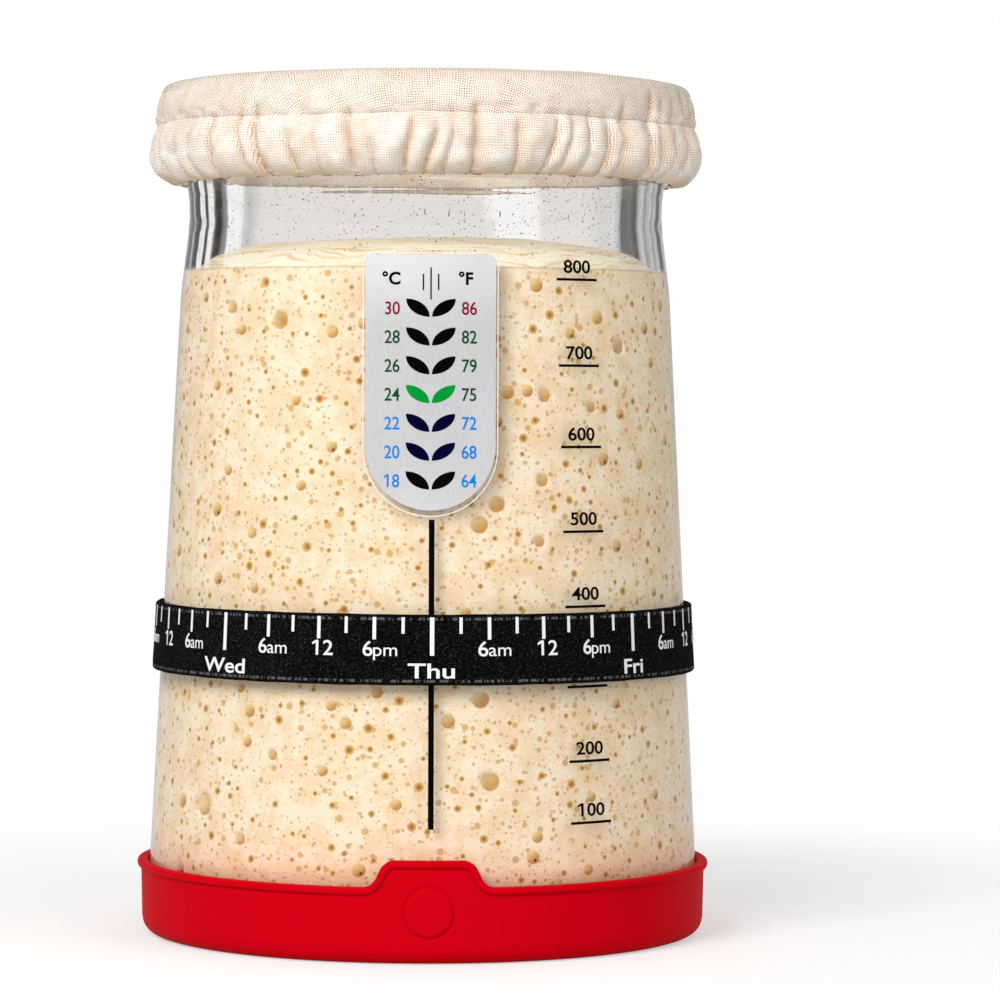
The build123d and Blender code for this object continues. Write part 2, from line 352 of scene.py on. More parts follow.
class Finish(Nodes):
    # A material and its shader. Spaces in the names of the shader's sockets are underscores here.
    def __init__(self, name, **sockets):
        self.material = bpy.data.materials.new(name)
        self.material.use_nodes = True
        super().__init__(self.material.node_tree)
        self.shader = self.tree.nodes["Principled BSDF"]
        self.fill(self.shader, {socket.replace("_", " "): value for socket, value in sockets.items()})

    def bump(self, height, depth, strength=1.0):
        # Relief of a depth in millimetres
        inputs = {"Height": height, "Distance": depth * mm, "Strength": strength}
        self.fill(self.shader, {"Normal": self.node("ShaderNodeBump", inputs).outputs[0]})

    def paint(self, color):
        self.fill(self.shader, {"Base Color": color})

    def coat(self, shader):
        # Puts this shader on the surface
        self.fill(self.tree.nodes["Material Output"], {"Surface": shader})


def flatFinish(name, color, roughness, **sockets):
    return Finish(name, Base_Color=color, Roughness=roughness, **sockets).material


# Glass jar: its foot, and the steps from one corner of its side to the next

glassJar = {
    "wall": 2.4,
    "floor": 5.0,
    "footRadius": 53.75,
    "heelRound": 12.0,
    "footRing": 5.0,
    "puntDepth": 2.0,
    "puntStep": (0.6, 1.4),  # share of the punt's radius, and how high it is there
    "puntRounds": (40, 1),
    "taperWidth": 6.31,
    "shoulder": (45.0, 2.01, 16.1),  # round, step inwards, height up to the waist
    "waist": (33.0, 1.57, 8.9),  # round, step outwards, height up to the throat
    "throat": (6.0, 4.3, 5.6),  # round, step outwards, height up to the lip
    "throatInside": 3.0,
    "lipDepth": 9.3,
    "lipWidth": 5.3,
    "lipRound": 2.0,
    "lipBevel": 0.8,
    "mouthDepth": 5.0,
    "bodyTint": (0.97, 0.968, 0.962, 1),
    # Partly the glass's own tint and partly painted shade, greying the far wall of the neck
    "neckTintAndShade": (0.69, 0.63, 0.595, 1),
    "index": 1.45,
    # Painted streaks in the far side of the neck: how far the view is turned from the glass there
    # (1 at the outline), and how clear it is painted. Thick glass is streaky beside its outline, and
    # these bands of reflection are painted.
    "leftPaintedStreaks": (
        (0.28, 0.5), (0.335, 0.3), (0.36, 0.42), (0.378, 1.0), (0.452, 1.0), (0.462, 0.1),
        (0.485, 0.04), (0.5, 0.0), (0.54, 0.0), (0.555, 0.03), (0.567, 1.0), (0.603, 1.0),
        (0.612, 0.0), (0.64, 0.0), (0.65, 1.0), (0.698, 1.0), (0.706, 0.0), (0.77, 0.0),
        (0.8, 0.3), (0.82, 0.0), (0.9, 0.0), (0.94, 0.5),
    ),
    "rightPaintedStreaks": (
        (0.28, 0.5), (0.4, 0.5), (0.425, 0.24), (0.44, 0.02), (0.475, 0.02), (0.505, 0.03),
        (0.53, 0.003), (0.548, 0.01), (0.568, 0.25), (0.6, 0.4), (0.625, 0.06), (0.645, 0.2),
        (0.69, 0.35), (0.71, 0.02), (0.73, 0.3), (0.76, 0.25), (0.78, 0.0), (0.86, 0.0),
        (0.9, 0.9),
    ),
    "streaksFrom": (0.25, 0.35),  # how far the view is turned where they begin
    "streakHeights": (126, 129, 149.5, 151),
    # A painted highlight, in the far wall's colour
    "paintedGlint": (0.034, 0.052, 0.105, 0.145),  # the bright upright patch on the right of the neck
}

jarBottom, jarTop = jarHeights
lipUnder = jarTop - glassJar["lipDepth"]
throatHeight = lipUnder - glassJar["throat"][2]
waistHeight = throatHeight - glassJar["waist"][2]
shoulderHeight = waistHeight - glassJar["shoulder"][2]
shoulderRadius = glassJar["footRadius"] - glassJar["taperWidth"]
waistRadius = shoulderRadius - glassJar["shoulder"][1]
throatRadius = waistRadius + glassJar["waist"][1]
lipRadius = throatRadius + glassJar["throat"][1]
mouthRadius = lipRadius - glassJar["lipWidth"]
glassTaper = glassJar["taperWidth"] / (shoulderHeight - jarBottom)


def wallRadius(height):
    # Outside radius of the glass on its straight taper
    return glassJar["footRadius"] - glassTaper * (np.asarray(height, float) - jarBottom)


def sideCorners(inset, bottom):
    # The glass's side from the axis at its floor up to the throat, moved inwards
    return [
        (0, bottom),
        (float(wallRadius(bottom)) - inset, bottom),
        (shoulderRadius - inset, shoulderHeight),
        (waistRadius - inset, waistHeight),
        (throatRadius - inset, throatHeight),
    ]


sideRounds = [glassJar[name][0] for name in ("shoulder", "waist", "throat")]


def glassOutline():
    # The section of the glass, from the punt round the outside, over the lip and down the inside
    wall, heel, bevel = glassJar["wall"], glassJar["heelRound"], glassJar["lipBevel"]
    mouthEnd = jarTop - glassJar["mouthDepth"]
    puntRadius = glassJar["footRadius"] - heel - glassJar["footRing"]
    puntShare, puntRise = glassJar["puntStep"]
    outside = [
        (0, jarBottom + glassJar["puntDepth"]),
        (puntRadius * puntShare, jarBottom + puntRise),
        (puntRadius, jarBottom),
        *sideCorners(0, jarBottom)[1:],
        (lipRadius, lipUnder),
        (lipRadius, jarTop),
        (mouthRadius, jarTop),
        (mouthRadius, mouthEnd - 1),
    ]
    rounds = [*glassJar["puntRounds"], heel, *sideRounds, bevel, glassJar["lipRound"], bevel]
    over = roundedPath(outside, rounds)
    inside = [(mouthRadius, mouthEnd), *sideCorners(wall, jarBottom + glassJar["floor"])[::-1]]
    down = roundedPath(inside, [glassJar["throatInside"], *sideRounds[1::-1], heel - wall])
    return spacedPath(np.concatenate([over[:-1], down]), 5)


def glassFinish():
    # Clear glass. The far wall of the neck is painted greyer, with painted streaks and a painted
    # highlight, and hidden behind the dough. How far the view is turned follows from its angle inside the
    # glass by the law of refraction.
    finish = Finish("clearGlass", Roughness=0.0, IOR=glassJar["index"], Transmission_Weight=1.0)
    across, deep, height = finish.axes(finish.place())
    facing = finish.node("ShaderNodeLayerWeight", {"Blend": 0.5}).outputs["Facing"]
    level = finish.math("SUBTRACT", 1.0, facing)
    inGlass = finish.math("SUBTRACT", 1.0, finish.product(level, level))
    inAir = finish.product(inGlass, glassJar["index"] ** 2)
    straight = finish.math("SQRT", finish.math("SUBTRACT", 1.0, inAir, clamp=True))
    turn = finish.math("SUBTRACT", 1.0, straight)
    stray = finish.math("SUBTRACT", finish.noise(finish.place((1, 1, 0.4)), 7, 3), 0.5)
    lean = finish.math("ADD", turn, finish.product(stray, 0.06))
    ragged = finish.math("ADD", turn, finish.product(stray, 0.05))
    onRight = finish.ramp(across, -2, 2)
    # Painted streaks and painted shade, in the colour of the far wall
    left, right = (finish.greys(lean, glassJar[name]) for name in ("leftPaintedStreaks", "rightPaintedStreaks"))
    streaks = finish.mix(onRight, left, right)
    color = finish.mix(finish.ramp(lean, *glassJar["streaksFrom"]), glassJar["neckTintAndShade"], streaks)
    # A painted highlight on the right of the neck
    paintedGlint = finish.product(finish.between(ragged, *glassJar["paintedGlint"]), onRight)
    color = finish.mix(paintedGlint, color, (1, 1, 1, 1))
    outside = finish.ramp(finish.length(across, deep), waistRadius - 0.45, waistRadius - 0.3)
    shown = finish.between(height, *glassJar["streakHeights"])
    shown = finish.product(outside, shown, finish.behind())
    finish.paint(finish.mix(shown, glassJar["bodyTint"], color))
    return finish.material


jar = dress(lathe("jarGlass", glassOutline(), 320), "jar", glassFinish(), "glass_jar", slot="jar_glass")
jar.visible_shadow = False
jar.visible_diffuse = False

droplets = {"count": 3000, "heights": (130.0, 147.0), "radii": (0.09, 0.2), "flatness": 0.5, "seed": 9}


def neckDroplets():
    # Fine drops of water inside the neck: each is a flattened dome that stands on the glass and
    # points at the axis. A point of it is its middle, plus its radius times a point of the unit dome.
    draw = np.random.default_rng(droplets["seed"])
    low, high = droplets["heights"]
    count = droplets["count"]
    azimuth = draw.uniform(-pi, pi, count)
    level = draw.uniform(low, high, count)
    keep = softNoise(azimuth, level, 23, 4.0, 31) > draw.uniform(-0.9, 0.5, count)
    azimuth, level = azimuth[keep], level[keep]
    small, large = droplets["radii"]
    size = small + (large - small) * draw.random(len(level)) ** 3
    inner = roundedPath(sideCorners(glassJar["wall"], jarBottom), [0, *sideRounds[:2]])
    wall = np.interp(level, inner[:, 1], inner[:, 0])
    sides, rings = 8, 4
    around = allRound(sides)[None, None]
    lift = np.radians([-12, 30, 62, 84])[None, :, None]
    across = size[:, None, None] * np.cos(lift) * np.cos(around)
    up = size[:, None, None] * np.cos(lift) * np.sin(around)
    out = size[:, None, None] * np.sin(lift) * droplets["flatness"] + 0 * around
    radius = wall[:, None, None] - out
    turn = azimuth[:, None, None] + across / wall[:, None, None]
    points = turned(radius, level[:, None, None] + up, turn).reshape(-1, 3)
    ring, step = np.meshgrid(np.arange(rings - 1), np.arange(sides), indexing="ij")
    pair = np.stack([ring * sides + step, ring * sides + (step + 1) % sides], axis=-1).reshape(-1, 2)
    quads = np.concatenate([pair, pair[:, ::-1] + sides], axis=1)
    shift = np.arange(len(level))[:, None, None] * rings * sides
    walls = (quads[None] + shift).reshape(-1, 4).tolist()
    ends = np.stack([np.arange(sides)[::-1], np.arange(sides) + (rings - 1) * sides])
    return finishMesh("neckDroplets", points, walls + (ends[None] + shift).reshape(-1, sides).tolist())


water = Finish("water", Base_Color=(0.55, 0.54, 0.53, 1), Roughness=0.0, IOR=1.4, Transmission_Weight=1.0)
drops = dress(neckDroplets(), "jar", water.material, slot="jar_glass")
drops.visible_shadow = False
print("glass jar made")


# Starter

starter = {
    "gap": -0.03,  # the dough wets the glass, so it reaches a hair into it
    "underLip": 36.1,  # from the top of the glass down to the dough's edge
    # The dome, as shares of the radius and of the crest's rise
    "dome": ((0, 1.0), (0.3, 0.99), (0.62, 0.93), (0.8, 0.78), (0.91, 0.5), (0.97, 0.2), (1.0, 0.0)),
    "columns": 384,
    "domeRows": 46,
    "rowStep": 0.66,
    "seed": 11,
    "bubbles": 1500,
    "smallest": 0.5,
    "spread": 0.95,  # the largest scattered bubble is so much larger than the smallest
    "clearance": 1.1,
    "wallRadius": 47,  # about the dough's radius, to measure how far apart they are
    "keptAround": 1.6,  # a face this near a bubble keeps its place
    "dentShare": 0.6,
    # The largest bubbles at the front: azimuth in degrees, height and radius
    "craters": (
        (-37, 118.0, 1.75), (-53, 120.6, 1.3), (-42, 125.0, 1.0), (-23, 115.8, 1.2),
        (50, 113.6, 1.6), (27, 104.3, 1.35), (40, 102.1, 1.1), (11, 80.4, 1.7),
        (15, 84.2, 1.6), (26, 88.6, 1.3), (25, 77.3, 1.15), (-43, 78.4, 1.1),
        (-28, 76.0, 1.0), (-18, 43.8, 1.2), (4, 44.3, 1.35), (11, 48.3, 1.7),
        (13, 33.2, 1.8), (-55, 27.1, 2.2), (-35, 37.5, 1.1), (-43, 21.4, 1.2),
    ),
}
starterLevel = jarTop - starter["underLip"]
crestTop = starterHeights[1]


def starterPath():
    # From the middle of the crest down the dome, down the glass and in along the floor
    inset = glassJar["wall"] + starter["gap"]
    bottom = jarBottom + glassJar["floor"] + starter["gap"]
    rounds = [*sideRounds[1::-1], glassJar["heelRound"] - inset]
    side = roundedPath(sideCorners(inset, bottom)[::-1], rounds)
    edge = np.interp(starterLevel, side[::-1, 1], side[::-1, 0])
    below = side[(side[:, 1] < starterLevel) & (side[:, 1] > bottom + 0.01)]
    wall = spacedPath(np.concatenate([[(edge, starterLevel)], below]), starter["rowStep"])
    rise = crestTop - starterLevel
    knots = [(edge * share, starterLevel + lift * rise) for share, lift in starter["dome"]]
    dome = smoothPath(knots, starter["domeRows"])
    return dome, wall, np.array([(30.0, bottom), (0.5, bottom)])


def placeBubbles():
    # The craters, then smaller bubbles at random places that keep clear of those already there
    draw = np.random.default_rng(starter["seed"])
    craters = np.array(starter["craters"], float)
    found = np.column_stack([np.radians(craters[:, 0]), craters[:, 1:]])
    for _ in range(starter["bubbles"]):
        height = draw.uniform(9, starterLevel - 1.5)
        azimuth = draw.uniform(-pi, pi)
        size = starter["smallest"] + starter["spread"] * draw.random() ** 3.4
        along = (azimuth - found[:, 0] + pi) % (2 * pi) - pi
        apart = np.hypot(along * starter["wallRadius"], height - found[:, 1])
        if (apart > size + found[:, 2] + starter["clearance"]).all():
            found = np.vstack([found, [azimuth, height, size]])
    return found


def starterMesh():
    # The path turned about the axis, with sine waves on the dome and round hollows in the wall
    dome, wall, base = starterPath()
    path = np.concatenate([dome, wall[1:], base])
    columns = starter["columns"]
    azimuth = allRound(columns)
    radius, height = path[:, :1] + 0 * azimuth, path[:, 1:] + 0 * azimuth
    onDome = np.arange(len(path))[:, None] < len(dome)
    # Folds of the crust: ripples that run round the dome and fade out at the glass
    share = radius / path[len(dome) - 1, 0]
    ripple = np.sin(21 * share + 2.2 * np.sin(azimuth + 0.6) + 1.1 * np.sin(3 * azimuth))
    ripple += 0.7 * np.sin(37 * share + 1.7 * np.sin(2 * azimuth + 2) + 0.8 * np.sin(5 * azimuth))
    ripple *= 0.14 * (0.6 + 0.4 * softNoise(azimuth, share, 9, 0.3, 21))
    inside = np.clip((1 - share) * 5, 0, 1)
    swell = 0.45 * softNoise(azimuth, share, 6, 0.4, 22) + 0.2 * softNoise(azimuth, share, 17, 0.15, 23)
    height = height + np.where(onDome, (ripple + swell) * inside, 0)
    # The craters are round hollows. Every face keeps its place in the nearest bubble for the finish.
    nearest = np.full(radius.shape, np.inf)
    centre = np.zeros((*radius.shape, 3))
    chance = np.zeros(radius.shape)
    for number, (turn, level, size) in enumerate(placeBubbles()):
        rows = np.flatnonzero(np.abs(path[:, 1] - level) < size + starter["keptAround"])
        rows = rows[(rows >= len(dome)) & (rows < len(path) - len(base))]
        across = (azimuth - turn + pi) % (2 * pi) - pi
        across = across[None] * np.interp(level, wall[::-1, 1], wall[::-1, 0]) / size
        up = (path[rows, 1] - level)[:, None] / size
        apart = np.hypot(across, up)
        toEdge = (apart - 1) * size
        closer = toEdge < nearest[rows]
        nearest[rows] = np.where(closer, toEdge, nearest[rows])
        centre[rows] = np.where(closer[..., None], [turn, level, size], centre[rows])
        draw = number % 97 / 97 * 0.5 + (0.5 if size > 1 else 0)  # over a half for a wide bubble
        chance[rows] = np.where(closer, draw, chance[rows])
        if number < len(starter["craters"]):
            hollow = starter["dentShare"] * size * np.sqrt(np.clip(1 - apart**2, 0, 1))
            radius[rows] -= np.where(apart < 1, hollow, 0)
    made = ringSurface("starterDough", turned(radius, height, azimuth[None]))
    # A face takes the bubble of its first corner, so a rim stays sharp between two points
    mesh = made.data
    corners = readAll(mesh.loops, "vertex_index")
    starts, counts = (readAll(mesh.polygons, name) for name in ("loop_start", "loop_total"))
    owner = np.repeat(corners[starts], counts)
    flatCentre = centre.reshape(-1, 3)[owner]
    turnHere = np.tile(azimuth, len(path))[corners]
    placed = flatCentre[:, 2] > 0
    size = np.where(placed, flatCentre[:, 2], 1)
    rim = np.repeat(path[:, 0], columns)[corners]
    across = ((turnHere - flatCentre[:, 0] + pi) % (2 * pi) - pi) * rim / size
    up = (np.repeat(path[:, 1], columns)[corners] - flatCentre[:, 1]) / size
    values = np.stack([across, up, chance.ravel()[owner]], axis=1)
    values[~placed] = (9, 9, 0)
    attribute = mesh.attributes.new("bubble", "FLOAT_VECTOR", "CORNER")
    attribute.data.foreach_set("vector", values.astype(np.float32).ravel())
    return made


def starterFinish():
    finish = Finish("sourdough", Roughness=0.6, Specular_IOR_Level=0.2)
    point = finish.place()
    across, deep, height = finish.axes(point)
    cloud = finish.ramp(finish.noise(point, 5, 5, 0.65), 0.38, 0.62)
    color = finish.mix(cloud, tint(243, 216, 175), tint(252, 233, 205))
    # Fine bubbles: balls of three sizes, cut through by the surface of the dough
    marks = 0.0
    for cell, size, depth in ((2.3, 0.6, 0.8), (1.35, 0.34, 0.75), (0.8, 0.19, 0.5)):
        inputs = {"Vector": point, "Scale": 1 / cell, "Randomness": 1.0}
        cells = finish.node("ShaderNodeTexVoronoi", inputs).outputs
        chance = finish.node("ShaderNodeSeparateColor", {0: cells["Color"]}).outputs[0]
        reach = finish.product(finish.math("ADD", chance, 0.35), size / cell)
        inside = finish.ramp(finish.math("DIVIDE", cells["Distance"], reach), 1.05, 0.6)
        marks = finish.math("MAXIMUM", marks, finish.product(inside, depth))
    color = finish.mix(marks, color, tint(216, 164, 82))
    # Large bubbles, from the place that each face keeps, with painted shade in their hollows
    right, up, chance = finish.axes(finish.attribute("bubble", "Vector"))
    apart = finish.length(right, up)
    # Painted shade: a wide bubble is lighter at its upper left and darker at its lower right
    slope = finish.math("SUBTRACT", finish.product(right, 0.55), finish.product(up, 0.8))
    wide = finish.mix(finish.ramp(slope, -0.8, 0.7), tint(238, 205, 144), tint(196, 142, 68))
    # and a narrow one is darker towards its middle
    narrow = finish.mix(finish.ramp(apart, 0.95, 0.3), tint(226, 182, 110), tint(188, 136, 58))
    narrow = finish.mix(finish.ramp(apart, 0.55, 0.1, 0.0, 0.7), narrow, tint(146, 94, 28))
    bubble = finish.mix(finish.ramp(chance, 0.49, 0.51), narrow, wide)
    color = finish.mix(finish.ramp(apart, 1.04, 0.88), color, bubble)
    # Painted shade: a dark dot low on the right of some bubbles, where the hole is deeper
    shadeDotDistance = finish.length(finish.math("SUBTRACT", right, 0.3), finish.math("ADD", up, 0.45))
    dark = finish.product(finish.ramp(shadeDotDistance, 0.3, 0.14), finish.ramp(chance, 0.8, 0.82))
    color = finish.mix(dark, color, tint(104, 58, 20))
    # Crust: pale, with amber folds that follow the distance from the axis, bent by slow clouds
    bend = finish.product(finish.noise(point, 16, 2), 9)
    ring = finish.math("ADD", finish.length(across, deep), bend)
    slowX, slowY, slowZ = finish.axes(finish.place((0.05, 0.05, 0.05)))
    along = finish.combine(slowX, slowY, finish.math("ADD", slowZ, ring))
    folds = finish.ramp(finish.noise(along, 0.75, 5, 0.6), 0.46, 0.7)
    crust = finish.mix(folds, tint(255, 247, 222), tint(238, 198, 136))
    color = finish.mix(finish.ramp(height, starterLevel - 0.25, starterLevel + 0.25), color, crust)
    # Painted shade: a grey-brown line along the dough's edge, where the dome meets the glass
    fromEdge = finish.math("ABSOLUTE", finish.math("SUBTRACT", height, starterLevel))
    color = finish.mix(finish.ramp(fromEdge, 0.3, 0.1, 0.0, 0.45), color, tint(176, 158, 136))
    # Painted red light near the boot: its reflected light, painted on the foot of the dough
    color = finish.mix(finish.ramp(height, 24, 8), color, tint(255, 214, 196), "MULTIPLY")
    finish.paint(color)
    finish.bump(finish.math("SUBTRACT", 1.0, marks), 0.25, 0.6)
    return finish.material


dress(starterMesh(), "jar", starterFinish(), "sourdough_starter", slot="starter")
print("starter made")


# Silicone boot

boot = {
    "floor": 1.8,
    "wall": 1.4,
    "draft": 0.3,
    "corner": 3.0,
    "height": 14.2,
    "beadHeight": 1.4,
    "beadWidth": 0.7,
    "beadRound": 0.55,
    "rimRound": 0.35,
    "tabRise": bootHeights[1] - 14.2,
    "tabTopWidth": 16.4,
    "tabSlope": 2.3,
    "tabRound": 3.0,
    "tabAzimuth": 0.27,  # the mesh is finer up to here, on both sides of the front
    "columns": (240, 262),  # up to there, and round the rest
    "wallRows": 62,
    "padRadius": 4.3,
    "padHeight": 9.5,
    "padRise": 0.4,
    "padEdge": 0.12,
    "groove": (0.35, 0.4, 0.25),  # its depth, how far it is from the pad's edge, and its width
}
bootInner = glassJar["footRadius"] - glassTaper * glassJar["heelRound"] + 0.3
bootOuter = bootInner + boot["wall"]
beadOuter = bootOuter + boot["beadWidth"]


def rimHeight(across, inset):
    # Height of the boot's rim, moved inwards, at a place across the front: it climbs over the tab
    shift = inset * tan(np.arctan2(boot["tabRise"], boot["tabSlope"]) / 2)
    crest, foot = boot["tabTopWidth"] / 2 - shift, boot["tabTopWidth"] / 2 + boot["tabSlope"] - shift
    low, high = boot["height"] - inset, bootHeights[1] - inset
    corners = [(0, high), (crest, high), (foot, low), (80, low)]
    edge = roundedPath(corners, [boot["tabRound"] - inset, boot["tabRound"] + inset], 3)
    return np.interp(np.abs(across), edge[:, 0], edge[:, 1])


def bootMesh():
    # Rings from the middle of the foot up the outside, over the bead and down to the floor inside.
    # Their points stand closer together at the tab's slopes than round the rest. The pad stands
    # out by a steep step at its edge, and its groove is a bell curve just outside that edge.
    half = boot["tabAzimuth"]
    fine, coarse = boot["columns"]
    rest = np.linspace(half, 2 * pi - half, coarse)[1:-1]
    azimuth = np.concatenate([np.linspace(-half, half, fine), rest])
    flat = 0 * azimuth
    across = np.where(np.cos(azimuth) > 0, bootOuter * np.sin(azimuth), 60)
    rim, under = rimHeight(across, 0), rimHeight(across, boot["beadHeight"])
    corner, ease, rimRound = boot["corner"], boot["beadRound"], boot["rimRound"]
    bottomRadius = bootOuter - boot["draft"] - corner
    rows = [(radius, flat) for radius in (0.5, 12, 24, 36, 44)]
    for angle in np.linspace(0, pi / 2, 9):
        rows.append((bottomRadius + corner * sin(angle), corner * (1 - cos(angle)) + flat))
    depth, off, width = boot["groove"]
    for share in np.linspace(0, 1, boot["wallRows"])[1:]:
        level = corner + share * (under - corner)
        radius = bootOuter - boot["draft"] * (1 - level / boot["height"]).clip(0, 1)
        away = np.hypot(across, level - boot["padHeight"]) - boot["padRadius"]
        radius = radius + boot["padRise"] / (1 + np.exp(np.clip(away / boot["padEdge"], -30, 30)))
        rows.append((radius - depth * np.exp(-(((away - off) / width) ** 2)), level))
    for angle in np.linspace(-pi / 2, pi / 2, 12):
        share = 0.5 + 0.5 * sin(angle)
        rows.append((beadOuter - ease + ease * cos(angle) ** 0.7, under + share * (rim - under)))
    for angle in np.linspace(0, pi / 2, 5):
        rows.append((bootInner + rimRound * (1 - sin(angle)), rim - rimRound * (1 - cos(angle))))
    chamfer = corner - boot["wall"]
    for share in np.linspace(0, 1, 5)[1:]:
        rows.append((bootInner, rim - rimRound - share * (rim - rimRound - boot["floor"] - chamfer)))
    rows += [(radius, boot["floor"] + flat) for radius in (bootInner - chamfer, 25, 0.5)]
    radius = np.stack([row[0] + 0 * azimuth for row in rows])
    height = np.stack([row[1] for row in rows])
    return ringSurface("boot", turned(radius, height, azimuth[None]))


silicone = Finish("redSilicone", Base_Color=tint(208, 0, 19), Roughness=0.5, Specular_IOR_Level=0.02)
silicone.bump(silicone.noise(silicone.place(), 0.35, 2), 0.02, 0.5)
dress(bootMesh(), "boot", silicone.material, "silicone_boot", slot="boot_silicone")
print("boot made")


# Marks and prints

blackInk = flatFinish("blackInk", tint(8, 7, 7), 0.5, Specular_IOR_Level=0.02)
inkThickness = 0.05


def wallPatch(name, azimuth, low, high, width, lift=0.0, radiusAt=wallRadius):
    # A thin upright strip that lies on a tapering wall, its width measured round the wall
    heights = np.linspace(low, high, max(2, int((high - low) / 6) + 2))[:, None]
    along = np.linspace(-width / 2, width / 2, max(2, int(width / 0.8) + 2))[None]
    radius = radiusAt(heights)
    turn = azimuth + along / radius
    outer = turned(radius + lift + inkThickness, heights, turn)
    return plate(name, outer, turned(radius + lift, heights, turn))


def flatText(words, capHeight, bold):
    # Words in the built-in font as a flat solid: x to the right, y up, middle at x = 0
    curve = bpy.data.curves.new("words", "FONT")
    curve.body = words
    curve.align_x = "CENTER"
    curve.size = capHeight / 0.729
    curve.offset = 0 if "M" in words else bold  # a bolder M fills in wrongly
    curve.extrude = 0.5
    curve.resolution_u = 5
    maker = inScene("words", curve)
    bpy.context.view_layer.update()
    mesh = bpy.data.meshes.new_from_object(maker.evaluated_get(bpy.context.evaluated_depsgraph_get()))
    bpy.data.objects.remove(maker)
    if words.startswith("1"):
        addFlag(mesh, capHeight)
    return mesh


def addFlag(mesh, capHeight):
    # The short stroke that falls to the left from the top of a first digit 1
    work = bmesh.new()
    work.from_mesh(mesh)
    left, top = min(point.co.x for point in work.verts), max(point.co.y for point in work.verts)
    shares = ((0.1, 0), (0, 0), (-0.24, -0.16), (-0.24, -0.3), (0.1, -0.13))
    outline = [(left + across * capHeight, top + up * capHeight) for across, up in shares]
    rings = [[work.verts.new((*place, deep)) for place in outline] for deep in (-0.5, 0.5)]
    work.faces.new(rings[0])
    work.faces.new(rings[1][::-1])
    for number in range(len(outline)):
        onward = (number + 1) % len(outline)
        work.faces.new([rings[0][number], rings[1][number], rings[1][onward], rings[0][onward]])
    work.to_mesh(mesh)
    work.free()


def wallText(name, words, capHeight, azimuth, baseline, bold, narrow, lift=0.0, radiusAt=wallRadius):
    # The words wrapped on a tapering wall, standing on a baseline, centred on an azimuth
    mesh = flatText(words, capHeight, bold)
    across, up, deep = readAll(mesh.vertices, "co", float, 3).reshape(-1, 3).T
    height = baseline + up
    radius = radiusAt(height)
    out = radius + lift + (deep > 0) * inkThickness
    placed = turned(out, height, azimuth + narrow * across / radius)
    mesh.vertices.foreach_set("co", (placed * mm).astype(np.float32).ravel())
    return inScene(name, mesh)


glassPrint = {
    "lineAzimuth": radians(0.35),
    "lineWidth": 1.05,
    "lineHeights": (24.7, 81.4),
    "markAzimuth": radians(35.4),
    "markWidth": 9.5,
    "markThickness": 0.5,
    "numberHeight": 2.45,
    "numberRise": 1.0,
    "numberShape": {"bold": 0.06, "narrow": 1.27},
    "marks": {800: 125.6, 700: 109.6, 600: 94.5, 500: 78.8, 400: 64.9, 300: 50.1, 200: 36.3, 100: 24.9},
}
lineEnds = glassPrint["lineHeights"]
line = wallPatch("feedingLine", glassPrint["lineAzimuth"], *lineEnds, glassPrint["lineWidth"])
dress(line, "jar", blackInk)
marks = []
for amount, height in glassPrint["marks"].items():
    place = (glassPrint["markAzimuth"], height, height + glassPrint["markThickness"])
    marks.append(wallPatch("mark", *place, glassPrint["markWidth"]))
    number = (str(amount), glassPrint["numberHeight"], place[0], place[2] + glassPrint["numberRise"])
    marks.append(wallText("number", *number, **glassPrint["numberShape"]))
dress(joined("volumeMarks", marks), "jar", blackInk)
print("glass printed")


# Leaf thermometer

thermometer = {
    "glue": 0.1,
    "film": 0.25,
    "face": 0.3,
    "width": 24.0,
    "corner": 1.5,
    "filmMargin": 0.5,
    "filmFootMargin": 1.2,
    "filmEdge": 0.2,
    "leafWidth": 4.4,
    "leafHeight": 3.4,
    "leafSplit": 0.37,
    "leafPitch": 5.28,
    "leafFirst": 3.8,
    "leafClearance": 0.04,
    "numberHeight": 2.46,
    "leafProud": 0.03,  # over the face
    "numberAcross": 7.0,
    # Above the leaves: three fine lines, as place across and heights, and the unit signs
    "awns": ((0, 121.8, 127.7), (-1.38, 123.5, 126.5), (1.38, 123.5, 126.5)),
    "awnWidth": 0.26,
    "signs": (("°C", -7.2), ("°F", 6.3)),
    "signHeight": 2.3,
    "signBaseline": 124.6,
}
cellNames = (18, 20, 22, 24, 26, 28, 30)
fahrenheit = (64, 68, 72, 75, 79, 82, 86)
filmLift = thermometer["glue"]
faceLift = filmLift + thermometer["film"]
printLift = faceLift + thermometer["face"]


def onWall(across, height, lift):
    # A point seen from the front, at a lift over the glass
    radius = wallRadius(height) + lift
    return turned(radius, height, np.arcsin(across / radius))


def stripOutline(margin, footMargin):
    # The thermometer's outline: a round foot and small corners, as a width at each height
    half = thermometer["width"] / 2 + margin
    foot, top = faceHeights[0] - footMargin, faceHeights[1] + margin
    corner = thermometer["corner"] + margin
    turn = np.linspace(0, pi / 2, 28)
    lowHeights, lowWidths = foot + half * (1 - np.cos(turn)), half * np.sin(turn)
    turn = np.linspace(0, pi / 2, 8)
    highHeights, highWidths = top - corner + corner * np.sin(turn), half - corner + corner * np.cos(turn)
    middle = np.linspace(foot + half, top - corner, 10)[1:-1]
    heights = np.concatenate([lowHeights, middle, highHeights])
    return heights, np.concatenate([lowWidths, half + 0 * middle, highWidths]).clip(0.02)


def strip(name, margin, footMargin, lift, thickness):
    # The outline filled in: each row of points runs across at its own height, on the wall
    heights, widths = stripOutline(margin, footMargin)
    across = widths[:, None] * np.linspace(-1, 1, 33)[None]
    heights = heights[:, None] + 0 * across
    return plate(name, onWall(across, heights, lift + thickness), onWall(across, heights, lift))


